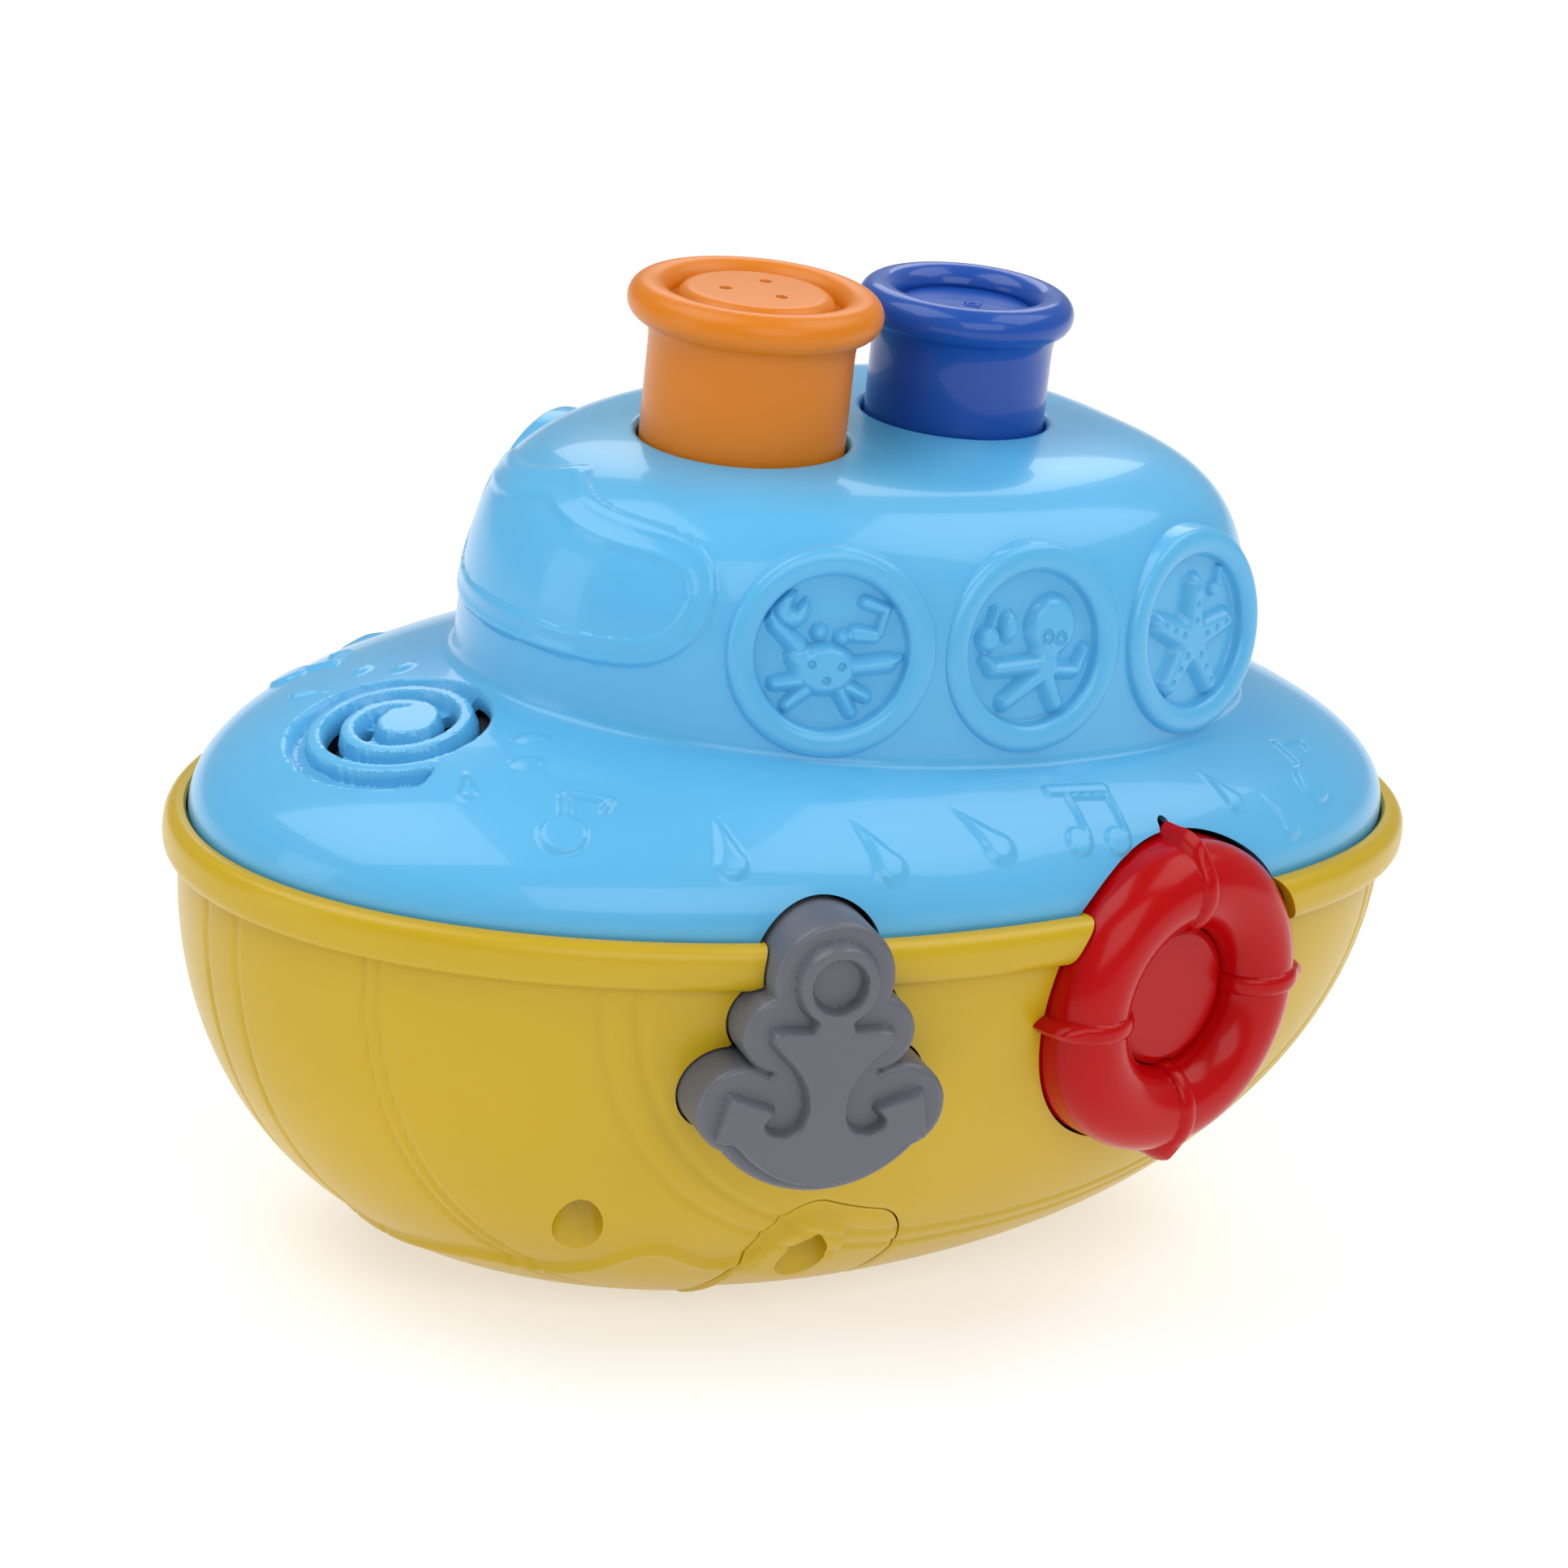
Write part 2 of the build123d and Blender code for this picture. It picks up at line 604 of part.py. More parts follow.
with BuildPart() as porthole_drums:
    # each porthole is a round drum standing out of the wall, with a rounded lip and a sunk face
    with Locations(*porthole_planes()):
        Cylinder(PORTHOLE_R, 9, align=TOP)
    circles = porthole_drums.edges().filter_by(GeomType.CIRCLE)
    outer_lips = [edge for edge in circles if abs(edge.arc_center.Y) > PORTHOLES[0][0][1] - 0.1]
    fillet(outer_lips, 1.4)
    with Locations(*porthole_planes()):
        Cylinder(PORTHOLE_LIP_R, PORTHOLE_RECESS, align=TOP, mode=Mode.SUBTRACT)
    with Locations(*[plane.offset(-PORTHOLE_RECESS) for plane in porthole_planes()]):
        Cylinder(PORTHOLE_RELIEF_R, 0.7, align=BOTTOM)

with BuildPart() as deck_outside:
    with BuildSketch(Plane.XY.offset(LEDGE_Z)):
        add(rim_section(0, SKIRT_INSET))
    extrude(amount=DOME_Z - LEDGE_Z)
    add(dome.part)
    add(cabin.part)
    # the wall is cut back under each lip and down to the sunk face before the drums go in
    with Locations(*porthole_planes()):
        Cylinder(PORTHOLE_R - 1.0, 6, align=BOTTOM, mode=Mode.SUBTRACT)
    with Locations(*[plane.offset(-PORTHOLE_RECESS - 0.4) for plane in porthole_planes()]):
        Cylinder(PORTHOLE_LIP_R + 0.4, 8, align=BOTTOM, mode=Mode.SUBTRACT)
    add(porthole_drums.part)

with BuildPart() as deck_columns:
    # columns for the housing screws, and for the frame that carries the funnels
    with Locations(*[(x, y, COLUMN_FOOT_Z) for x, y in HOUSING_SCREWS]):
        Cylinder(COLUMN_R, 70, align=BOTTOM)
    with Locations(*[(x, y, FRAME_Z) for x, y in FRAME_COLUMNS]):
        Cylinder(4, 60, align=BOTTOM)
    # a collar that holds the speaker under its grille
    with Locations(speaker_plane.offset(-9)):
        Cylinder(SPEAKER_R + 2.4, 20, align=BOTTOM)
        Cylinder(SPEAKER_R + 0.4, 20, align=BOTTOM, mode=Mode.SUBTRACT)
    add(deck_outside.part, mode=Mode.INTERSECT)

with BuildPart() as column_feet:
    # the parts of the columns that reach down past the skirt
    with Locations(*[(x, y, COLUMN_FOOT_Z) for x, y in HOUSING_SCREWS]):
        Cylinder(COLUMN_R, LEDGE_Z - COLUMN_FOOT_Z + 0.7, align=BOTTOM)


def spiral_piece(start, finish):
    """One length of the grille's spiral slot, between two fractions of its run."""
    points = []
    for k in range(13):
        part_way = start + (finish - start) * k / 12
        angle = 2 * pi * GRILLE_TURNS * part_way
        radius = GRILLE_INNER_R + (GRILLE_OUTER_R - GRILLE_INNER_R) * part_way
        points.append((radius * cos(angle), radius * sin(angle)))
    with BuildSketch(speaker_plane.offset(-8)) as piece:
        with BuildLine():
            Spline(*points)
        trace(line_width=GRILLE_SLOT)
    return piece.sketch


with BuildPart() as grille_slots:
    for start, finish in ((0.02, 0.24), (0.29, 0.45), (0.5, 0.63), (0.68, 0.8), (0.85, 0.97)):
        extrude(spiral_piece(start, finish), amount=16)

with BuildPart() as deck:
    add(deck_outside.part)
    with BuildSketch(Plane.XY.offset(LEDGE_Z)):
        add(rim_section(0, SKIRT_INSET + DECK_WALL))
    extrude(amount=DOME_Z - LEDGE_Z, mode=Mode.SUBTRACT)
    loft(dome_sections(DECK_WALL, DECK_WALL), mode=Mode.SUBTRACT)
    loft(cabin_sections(DECK_WALL), mode=Mode.SUBTRACT)
    add(anchor_passage.part, mode=Mode.SUBTRACT)
    add(ring_passage.part, mode=Mode.SUBTRACT)
    add(deck_columns.part)
    add(column_feet.part)
    # round holes that the funnels slide in
    with Locations((ORANGE_X, 0, ROOF_Z - 20)):
        Cylinder(ORANGE_HOLE_R, 40, align=BOTTOM, mode=Mode.SUBTRACT)
    with Locations((BLUE_X, 0, ROOF_Z - 20)):
        Cylinder(BLUE_HOLE_R, 40, align=BOTTOM, mode=Mode.SUBTRACT)
    add(grille_slots.part, mode=Mode.SUBTRACT)
    with Locations(*[(x, y, RECESS_TOP_Z) for x, y in HOUSING_SCREWS]):
        Cylinder(PILOT_R, 16, align=BOTTOM, mode=Mode.SUBTRACT)
    with Locations(*[(x, y, FRAME_Z - 1) for x, y in FRAME_COLUMNS]):
        Cylinder(PILOT_R, 12, align=BOTTOM, mode=Mode.SUBTRACT)
save(deck.part, "deck")

# ------------------------------------------------------------------ funnels
with BuildPart() as orange_funnel:
    outline = funnel_profile(ORANGE_X, ORANGE_HOLE_R, ORANGE_RIM_R, ORANGE_RIM_Z, 13.4, ORANGE_RIM_Z + 3.0)
    revolve(outline, axis=Axis((ORANGE_X, 0, 0), (0, 0, 1)))
save(orange_funnel.part, "orange_funnel")

with BuildPart() as blue_funnel:
    outline = funnel_profile(BLUE_X, BLUE_HOLE_R, BLUE_RIM_R, BLUE_RIM_Z, 12.0, BLUE_RIM_Z + 1.0)
    revolve(outline, axis=Axis((BLUE_X, 0, 0), (0, 0, 1)))
save(blue_funnel.part, "blue_funnel")

with BuildPart() as orange_spring:
    with Locations((ORANGE_X, 0, FRAME_Z + 0.05)):
        add(coil(SPRING_R, SPRING_WIRE_R, SPRING_SPACE, SPRING_TURNS))
save(orange_spring.part, "orange_spring")

with BuildPart() as blue_spring:
    with Locations((BLUE_X, 0, FRAME_Z + 0.05)):
        add(coil(SPRING_R, SPRING_WIRE_R, SPRING_SPACE, SPRING_TURNS))
save(blue_spring.part, "blue_spring")

with BuildPart() as funnel_frame:
    # plate under the roof columns, a guide tube for each funnel's pin, and pillars for the board
    with Locations(((ORANGE_X + BLUE_X) / 2, 0, FRAME_Z)):
        Box(ORANGE_X - BLUE_X + 24, 24, FRAME_THICK, align=TOP)
    with Locations((-4, 24, FRAME_Z), (-4, -24, FRAME_Z)):
        Box(98, 9, FRAME_THICK, align=TOP)
    with Locations((34, 0, FRAME_Z), (-42, 0, FRAME_Z)):
        Box(8, 56, FRAME_THICK, align=TOP)
    with Locations((ORANGE_X, 0, FRAME_Z), (BLUE_X, 0, FRAME_Z)):
        Cylinder(POST_R, POST_TOP_Z - FRAME_Z, align=BOTTOM)
    with Locations((4, 8, FRAME_Z), (-8, -8, FRAME_Z), (38, 0, FRAME_Z), (-42, 0, FRAME_Z)):
        Cylinder(3, FRAME_Z - FUNNEL_BOARD_Z - BOARD_THICK, align=TOP)
    with Locations((ORANGE_X, 0, FRAME_Z), (BLUE_X, 0, FRAME_Z)):
        Cylinder(PIN_R + 0.05, 60, mode=Mode.SUBTRACT)
    with Locations(*[(x, y, FRAME_Z) for x, y in FRAME_COLUMNS]):
        Cylinder(PILOT_R + 0.2, 10, mode=Mode.SUBTRACT)
    with Locations(*[(x, 0, FRAME_Z - 3) for x in FUNNEL_BOARD_SCREWS]):
        Cylinder(PILOT_R, 20, align=TOP, mode=Mode.SUBTRACT)
save(funnel_frame.part, "funnel_frame")

with BuildPart() as frame_screws:
    with Locations(*[Location((x, y, FRAME_Z - FRAME_THICK), (180, 0, 0)) for x, y in FRAME_COLUMNS]):
        add(screw(11))
    with Locations(*[Location((x, 0, FUNNEL_BOARD_Z), (180, 0, 0)) for x in FUNNEL_BOARD_SCREWS]):
        add(screw(8))
save(frame_screws.part, "frame_screws")

with BuildPart() as funnel_board:
    with Locations((-2, 0, FUNNEL_BOARD_Z)):
        Box(90, 22, BOARD_THICK, align=BOTTOM)
    with Locations(*[(x, 0, FUNNEL_BOARD_Z) for x in FUNNEL_BOARD_SCREWS]):
        Cylinder(PILOT_R + 0.1, 10, mode=Mode.SUBTRACT)
save(funnel_board.part, "funnel_board")

with BuildPart() as orange_switch:
    with Locations((ORANGE_X, 0, FUNNEL_BOARD_Z + BOARD_THICK)):
        add(push_switch())
        Cylinder(1.2, PIN_TIP_Z - FUNNEL_TRAVEL - FUNNEL_BOARD_Z - BOARD_THICK - SWITCH_GAP, align=BOTTOM)
save(orange_switch.part, "orange_switch")

with BuildPart() as blue_switch:
    with Locations((BLUE_X, 0, FUNNEL_BOARD_Z + BOARD_THICK)):
        add(push_switch())
        Cylinder(1.2, PIN_TIP_Z - FUNNEL_TRAVEL - FUNNEL_BOARD_Z - BOARD_THICK - SWITCH_GAP, align=BOTTOM)
save(blue_switch.part, "blue_switch")

# ------------------------------------------------------------------ anchor button
with BuildPart() as anchor_button:
    with BuildSketch(anchor_face.offset(-ANCHOR_DEPTH)):
        add(anchor_outline())
    extrude(amount=ANCHOR_DEPTH - ANCHOR_RELIEF)
    # flange that stops it coming out through the wall, flat at its foot to clear the door's boss
    with BuildSketch(anchor_face.offset(-ANCHOR_DEPTH)):
        add(anchor_outline(FLANGE_REACH))
        with Locations((0, ANCHOR_FOOT)):
            Rectangle(60, 60, align=(Align.CENTER, Align.MIN), mode=Mode.INTERSECT)
    extrude(amount=1.6)
    with BuildSketch(anchor_face.offset(-ANCHOR_DEPTH)):
        add(anchor_outline(-BUTTON_WALL))
    extrude(amount=ANCHOR_DEPTH - ANCHOR_RELIEF - BUTTON_WALL, mode=Mode.SUBTRACT)
    with BuildSketch(anchor_face.offset(-ANCHOR_DEPTH - STEM_TIP)):
        Circle(STEM_R)
    extrude(amount=ANCHOR_DEPTH + STEM_TIP - ANCHOR_RELIEF - 1)
    # the anchor itself, standing proud of the block
    with BuildSketch(anchor_face.offset(-ANCHOR_RELIEF - 0.2)):
        with Locations((0, 13.3)):
            Circle(7.8)
            Circle(4.5, mode=Mode.SUBTRACT)
        with Locations((0, 4.0)):
            RectangleRounded(22, 4.6, 2.2)
        with Locations((0, -6.5)):
            Rectangle(7.8, 27)
        with BuildLine():
            ThreePointArc((-19, -12.8), (0, -21.8), (19, -12.8))
            Line((19, -12.8), (16.7, -5.5))
            Line((16.7, -5.5), (8.4, -7.5))
            Line((8.4, -7.5), (10.4, -11.2))
            ThreePointArc((10.4, -11.2), (0, -15), (-10.4, -11.2))
            Line((-10.4, -11.2), (-8.4, -7.5))
            Line((-8.4, -7.5), (-16.7, -5.5))
            Line((-16.7, -5.5), (-19, -12.8))
        make_face()
    extrude(amount=ANCHOR_RELIEF + 0.2)
save(anchor_button.part, "anchor_button")

# ------------------------------------------------------------------ life ring button
with BuildPart() as life_ring_button:
    ring_tube_r = (RING_OUTER_R - RING_INNER_R) / 2
    with Locations(ring_face.offset(-ring_tube_r)):
        Torus(RING_CREST_R, ring_tube_r)
        Cylinder(RING_OUTER_R, RING_DEPTH - ring_tube_r, align=TOP)
        Cylinder(RING_INNER_R + 2, 1.6, align=BOTTOM)
    with Locations(ring_face.offset(-RING_DEPTH)):
        Cylinder(RING_OUTER_R + 1.2, 1.4, align=BOTTOM)
        Cylinder(RING_OUTER_R - BUTTON_WALL, RING_DEPTH - ring_tube_r - 2.4, align=BOTTOM, mode=Mode.SUBTRACT)
    with Locations(ring_face.offset(-RING_DEPTH - STEM_TIP)):
        Cylinder(STEM_R, RING_DEPTH + STEM_TIP - ring_tube_r - 1, align=BOTTOM)
save(life_ring_button.part, "life_ring_button")

# ------------------------------------------------------------------ button guides and switches
with BuildPart() as anchor_guide:
    with Locations(anchor_face):
        add(button_guide(ANCHOR_DEPTH, ANCHOR_CENTRE[2]))
save(anchor_guide.part, "anchor_guide")

with BuildPart() as life_ring_guide:
    with Locations(ring_face):
        add(button_guide(RING_DEPTH, RING_CENTRE[2]))
save(life_ring_guide.part, "life_ring_guide")

with BuildPart() as guide_screws:
    with Locations(*[(x, y, LUG_Z + 2.4) for x, y in guide_lugs]):
        add(screw(8))
save(guide_screws.part, "guide_screws")

with BuildPart() as anchor_switch_board:
    with Locations(anchor_face.offset(-ANCHOR_DEPTH - SWITCH_SETBACK)):
        Box(22, 14, BOARD_THICK, align=TOP)
save(anchor_switch_board.part, "anchor_switch_board")

with BuildPart() as anchor_switch:
    with Locations(anchor_face.offset(-ANCHOR_DEPTH - SWITCH_SETBACK)):
        Box(6, 6, 1.4, align=BOTTOM)
        Cylinder(SWITCH_PLUNGER_R, SWITCH_SETBACK - STEM_TIP - BUTTON_TRAVEL - SWITCH_GAP, align=BOTTOM)
save(anchor_switch.part, "anchor_switch")

with BuildPart() as life_ring_switch_board:
    with Locations(ring_face.offset(-RING_DEPTH - SWITCH_SETBACK)):
        Box(22, 14, BOARD_THICK, align=TOP)
save(life_ring_switch_board.part, "life_ring_switch_board")

with BuildPart() as life_ring_switch:
    with Locations(ring_face.offset(-RING_DEPTH - SWITCH_SETBACK)):
        Box(6, 6, 1.4, align=BOTTOM)
        Cylinder(SWITCH_PLUNGER_R, SWITCH_SETBACK - STEM_TIP - BUTTON_TRAVEL - SWITCH_GAP, align=BOTTOM)
save(life_ring_switch.part, "life_ring_switch")

# button springs stand between each plate and the inside of the button's front
anchor_spring_length = ANCHOR_DEPTH + PLATE_SETBACK - BUTTON_TRAVEL - ANCHOR_RELIEF - BUTTON_WALL - 0.2
ring_spring_length = RING_DEPTH + PLATE_SETBACK - BUTTON_TRAVEL - ring_tube_r - 2.6

with BuildPart() as anchor_spring:
    with Locations(anchor_face.offset(-ANCHOR_DEPTH - PLATE_SETBACK + BUTTON_TRAVEL + 0.1)):
        add(coil(BUTTON_SPRING_R, BUTTON_SPRING_WIRE_R, anchor_spring_length, 7))
save(anchor_spring.part, "anchor_spring")

with BuildPart() as life_ring_spring:
    with Locations(ring_face.offset(-RING_DEPTH - PLATE_SETBACK + BUTTON_TRAVEL + 0.1)):
        add(coil(BUTTON_SPRING_R, BUTTON_SPRING_WIRE_R, ring_spring_length, 5))
save(life_ring_spring.part, "life_ring_spring")

# ------------------------------------------------------------------ speaker
speaker_face = speaker_plane.offset(-4.6)

with BuildPart() as speaker_frame:
    with Locations(speaker_face.offset(-1.2)):
        Cylinder(SPEAKER_R, 1.2, align=TOP)
        Cylinder(13.5, 6, align=TOP)
        Cylinder(12.5, 4.5, align=TOP, mode=Mode.SUBTRACT)
save(speaker_frame.part, "speaker_frame")

with BuildPart() as speaker_magnet:
    with Locations(speaker_face.offset(-7.2)):
        Cylinder(9, 3.6, align=TOP)
save(speaker_magnet.part, "speaker_magnet")

with BuildPart() as speaker_cone:
    with Locations(speaker_face.offset(-4.6)):
        Cone(5.0, 12.0, 3.2, align=BOTTOM)
        Cone(4.3, 11.6, 3.2, align=BOTTOM, mode=Mode.SUBTRACT)
        Cylinder(4.4, 0.6, align=BOTTOM)
save(speaker_cone.part, "speaker_cone")

with BuildPart() as speaker_ring:
    with Locations(speaker_face):
        Cylinder(SPEAKER_R, 1.1, align=TOP)
        Cylinder(12.6, 5, mode=Mode.SUBTRACT)
save(speaker_ring.part, "speaker_ring")

# ------------------------------------------------------------------ wires, above and beside the main board
wire_z = BOARD_Z + BOARD_THICK

with BuildPart() as speaker_leads:
    for side in (1, -1):
        speaker_end = speaker_face.from_local_coords((0, 5.5 * side, -11.2))
        path = [(47, 5.5 * side, wire_z), (47, 5.5 * side, 52), (speaker_end.X, 5.5 * side, 60)]
        add(lead(path + [(speaker_end.X, speaker_end.Y, speaker_end.Z)], 6))
save(speaker_leads.part, "speaker_leads")

with BuildPart() as funnel_leads:
    for side in (1, -1):
        path = [(6, 5 * side, wire_z), (6, 5 * side, 50), (-2, 5 * side, 66), (-2, 5 * side, FUNNEL_BOARD_Z)]
        add(lead(path, 6))
save(funnel_leads.part, "funnel_leads")

with BuildPart() as battery_leads:
    for side in (1, -1):
        path = [(22, side * (TRAY_Y + 3), 17), (22, side * (TRAY_Y + 3), 33), (22, side * 22, 33)]
        add(lead(path + [(22, side * 22, wire_z)], 2))
save(battery_leads.part, "battery_leads")
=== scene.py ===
import json
from math import cos, pi, radians, sin

import bpy
import numpy as np
from mathutils import Matrix, Vector


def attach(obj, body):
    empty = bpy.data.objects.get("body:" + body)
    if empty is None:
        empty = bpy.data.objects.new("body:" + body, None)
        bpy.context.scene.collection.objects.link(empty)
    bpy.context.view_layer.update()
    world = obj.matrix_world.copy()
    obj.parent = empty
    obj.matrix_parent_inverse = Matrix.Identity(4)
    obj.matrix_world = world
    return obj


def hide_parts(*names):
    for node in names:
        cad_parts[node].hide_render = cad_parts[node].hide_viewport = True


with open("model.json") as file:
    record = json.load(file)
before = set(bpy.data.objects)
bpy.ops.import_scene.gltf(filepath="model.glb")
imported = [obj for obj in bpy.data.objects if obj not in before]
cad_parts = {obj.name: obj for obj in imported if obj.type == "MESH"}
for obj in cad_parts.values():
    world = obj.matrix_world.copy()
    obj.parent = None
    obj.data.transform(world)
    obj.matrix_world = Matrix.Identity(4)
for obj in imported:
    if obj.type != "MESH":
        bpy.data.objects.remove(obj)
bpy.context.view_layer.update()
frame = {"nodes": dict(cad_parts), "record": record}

# All shapes below are in millimetres in the CAD frame (+X bow, +Y port, +Z up); MM takes them to metres.
MM = 0.001
FAR = 9.0  # a distance that counts as nowhere near an outline
SMOOTH_UP_TO = radians(35)  # steeper edges between faces are drawn sharp

# ------------------------------------------------------------------ the boat's own dimensions
BOW_REACH, STERN_REACH, HALF_BEAM = 120.0, 110.0, 76.5
BOW_POWER, STERN_POWER = 2.0, 2.8
BOWL_TOP_Z = 70.8
BOWL_INSET = 3.1
BASE_FORE, BASE_AFT, BASE_HALF = 47.0, -24.0, 25.0
DECK_INSET = 4.1
DOME_Z, DOME_HEIGHT, DOME_POWER = 78.8, 28.4, 2.15
CABIN_X, CABIN_FORE, CABIN_AFT, CABIN_HALF = -13.0, 80.2, 62.0, 53.9
CABIN_Z, CABIN_HEIGHT = 80.0, 63.2
LEDGE_Z = 72.5

ORANGE_X, ORANGE_HOLE_R, ORANGE_RIM_R, ORANGE_RIM_Z = 20.2, 18.0, 21.7, 165.4
BLUE_X, BLUE_HOLE_R, BLUE_RIM_R, BLUE_RIM_Z = -25.0, 16.1, 18.7, 162.1

# each porthole's centre, heading and tilt
PORTHOLES = [
    ((30.6, 44.3, 119.0), 66.9, 7.2),
    ((-5.7, 52.5, 118.7), 86.6, 8.5),
    ((-42.6, 50.7, 117.4), 102.9, 7.9),
]
PORTHOLE_R, PORTHOLE_RING_R = 12.5, 15.4  # the sunk face, and the crest of the ring round it
ANCHOR_CENTRE, ANCHOR_HEADING = (47.85, 77.8, 61.5), 73.0
RING_CENTRE, RING_HEADING = (-28.5, 79.8, 61.0), 97.0
RING_OUTER_R, RING_TUBE_R = 27.5, 7.5
ROPE_BANDS = (92, 182, 272, 2)
DOOR_X, DOOR_HALF, DOOR_REACH, DOOR_CORNER = 26.0, 14.5, 60.5, 9.0
DOOR_GAP = 0.3
DOOR_SCREW_X, DOOR_SCREW_Y, DOOR_SCREW_SEAT_Z = 31.0, 54.0, 27.4
SCREW_SPOTS = [(70.0, 43.0), (70.0, -43.0), (-62.0, 46.0), (-62.0, -46.0)]
SCREW_SEAT_Z, RECESS_R = 41.9, 4.2
FOOT_LIMIT_Z = 40.0  # the door, its screws and the wave are all below this height
HULL_GAP, DECK_GAP, WALL = 0.4, 0.9, 2.4  # clearance round the buttons, and the visible wall's depth
GRILLE_X, GRILLE_Z, GRILLE_TILT = 85.0, 98.2, 14.0


# ------------------------------------------------------------------ flat distance functions
def capsule(p, a, b, ra, rb=None):
    """Distance to a line from a to b whose radius goes from ra to rb."""
    rb = ra if rb is None else rb
    a, b = np.array(a, float), np.array(b, float)
    along = np.clip(((p - a) @ (b - a)) / ((b - a) @ (b - a)), 0, 1)
    return np.linalg.norm(p - a - along[:, None] * (b - a), axis=1) - (ra + (rb - ra) * along)


def circle(p, centre, radius):
    return np.linalg.norm(p - np.array(centre, float), axis=1) - radius


def ellipse(p, centre, rx, ry):
    q = (p - np.array(centre, float)) / np.array([rx, ry])
    return (np.linalg.norm(q, axis=1) - 1) * min(rx, ry)


def polyline(p, points):
    """Distance to a chain of straight runs."""
    points = np.array(points, float)
    best = np.full(len(p), 1e9)
    for a, b in zip(points[:-1], points[1:]):
        best = np.minimum(best, capsule(p, a, b, 0.0))
    return best


def polygon(p, points):
    """Signed distance to a closed outline, negative inside."""
    points = np.array(points, float)
    best = np.full(len(p), 1e9)
    inside = np.zeros(len(p), bool)
    for a, b in zip(points, np.roll(points, -1, axis=0)):
        best = np.minimum(best, capsule(p, a, b, 0.0))
        spans = (a[1] > p[:, 1]) != (b[1] > p[:, 1])
        rise = b[1] - a[1] if b[1] != a[1] else 1e-9
        inside ^= spans & (p[:, 0] < (b[0] - a[0]) * (p[:, 1] - a[1]) / rise + a[0])
    return np.where(inside, -best, best)


def rounded(points, passes):
    """A closed outline with its corners cut round."""
    points = np.array(points, float)
    for _ in range(passes):
        following = np.roll(points, -1, axis=0)
        pairs = [0.75 * points + 0.25 * following, 0.25 * points + 0.75 * following]
        points = np.stack(pairs, 1).reshape(-1, 2)
    return points


def arc(centre, radius, start, finish, count):
    """Points along an arc between two angles in degrees."""
    angles = np.radians(np.linspace(start, finish, count))
    return [(centre[0] + radius * cos(a), centre[1] + radius * sin(a)) for a in angles]


def clear_of(points):
    """A field that is far outside everything, ready for union()."""
    return np.full(len(points), FAR)


def union(*fields):
    return np.minimum.reduce(fields)


def soft_union(a, b, blend):
    h = np.clip(0.5 + 0.5 * (b - a) / blend, 0, 1)
    return b + (a - b) * h - blend * h * (1 - h)


def raised(distance, height, edge):
    """Relief of this height inside an outline, with a quarter-round shoulder of width edge."""
    return height * np.sin(np.clip(-distance / edge, 0, 1) * pi / 2)


def swell(distance, height, edge):
    """Relief like raised(), easing in and out of its shoulder."""
    share = np.clip(-distance / edge, 0, 1)
    return height * share * share * (3 - 2 * share)


def ridge(distance, height, half_width):
    """Half-round ridge along a line."""
    return height * np.sqrt(np.clip(1 - (distance / half_width) ** 2, 0, 1))


# ------------------------------------------------------------------ mesh helpers
def ring_quads(rows, columns, flip=False):
    """Faces of a grid of rows, each closed round on itself."""
    k, i = np.meshgrid(np.arange(rows - 1), np.arange(columns), indexing="ij")
    j = (i + 1) % columns
    quads = np.stack([k * columns + i, k * columns + j, (k + 1) * columns + j, (k + 1) * columns + i], -1)
    quads = quads.reshape(-1, 4)
    return quads[:, ::-1] if flip else quads


def grid_quads(rows, columns):
    k, i = np.meshgrid(np.arange(rows - 1), np.arange(columns - 1), indexing="ij")
    a = k * columns + i
    return np.stack([a, a + 1, a + columns + 1, a + columns], -1).reshape(-1, 4)


def make(name, points, faces, material, body):
    """A smooth-shaded object from points in millimetres and a list of face arrays."""
    mesh = bpy.data.meshes.new(name)
    used = np.unique(np.concatenate([f.ravel() for f in faces]))
    remap = np.full(len(points), -1)
    remap[used] = np.arange(len(used))
    mesh.vertices.add(len(used))
    mesh.vertices.foreach_set("co", (points[used] * MM).astype(np.float32).ravel())
    loops = np.concatenate([remap[f].ravel() for f in faces]).astype(np.int32)
    sizes = np.concatenate([np.full(len(f), f.shape[1]) for f in faces])
    mesh.loops.add(len(loops))
    mesh.loops.foreach_set("vertex_index", loops)
    mesh.polygons.add(len(sizes))
    mesh.polygons.foreach_set("loop_start", np.concatenate([[0], np.cumsum(sizes)[:-1]]).astype(np.int32))
    mesh.polygons.foreach_set("use_smooth", np.ones(len(sizes), bool))
    mesh.update(calc_edges=True)
    mesh.validate()
    mesh.set_sharp_from_angle(angle=SMOOTH_UP_TO)
    piece = bpy.data.objects.new(name, mesh)
    bpy.context.scene.collection.objects.link(piece)
    mesh.materials.append(material)
    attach(piece, body)
    return piece


def normals(points, rows, columns):
    """Normals of a grid of rows, each closed round on itself."""
    grid = points.reshape(rows, columns, 3)
    across = np.roll(grid, -1, 1) - np.roll(grid, 1, 1)
    along = np.empty_like(grid)
    along[1:-1] = grid[2:] - grid[:-2]
    along[0] = grid[1] - grid[0]
    along[-1] = grid[-1] - grid[-2]
    n = np.cross(across, along).reshape(-1, 3)
    return n / np.maximum(np.linalg.norm(n, axis=1), 1e-9)[:, None]


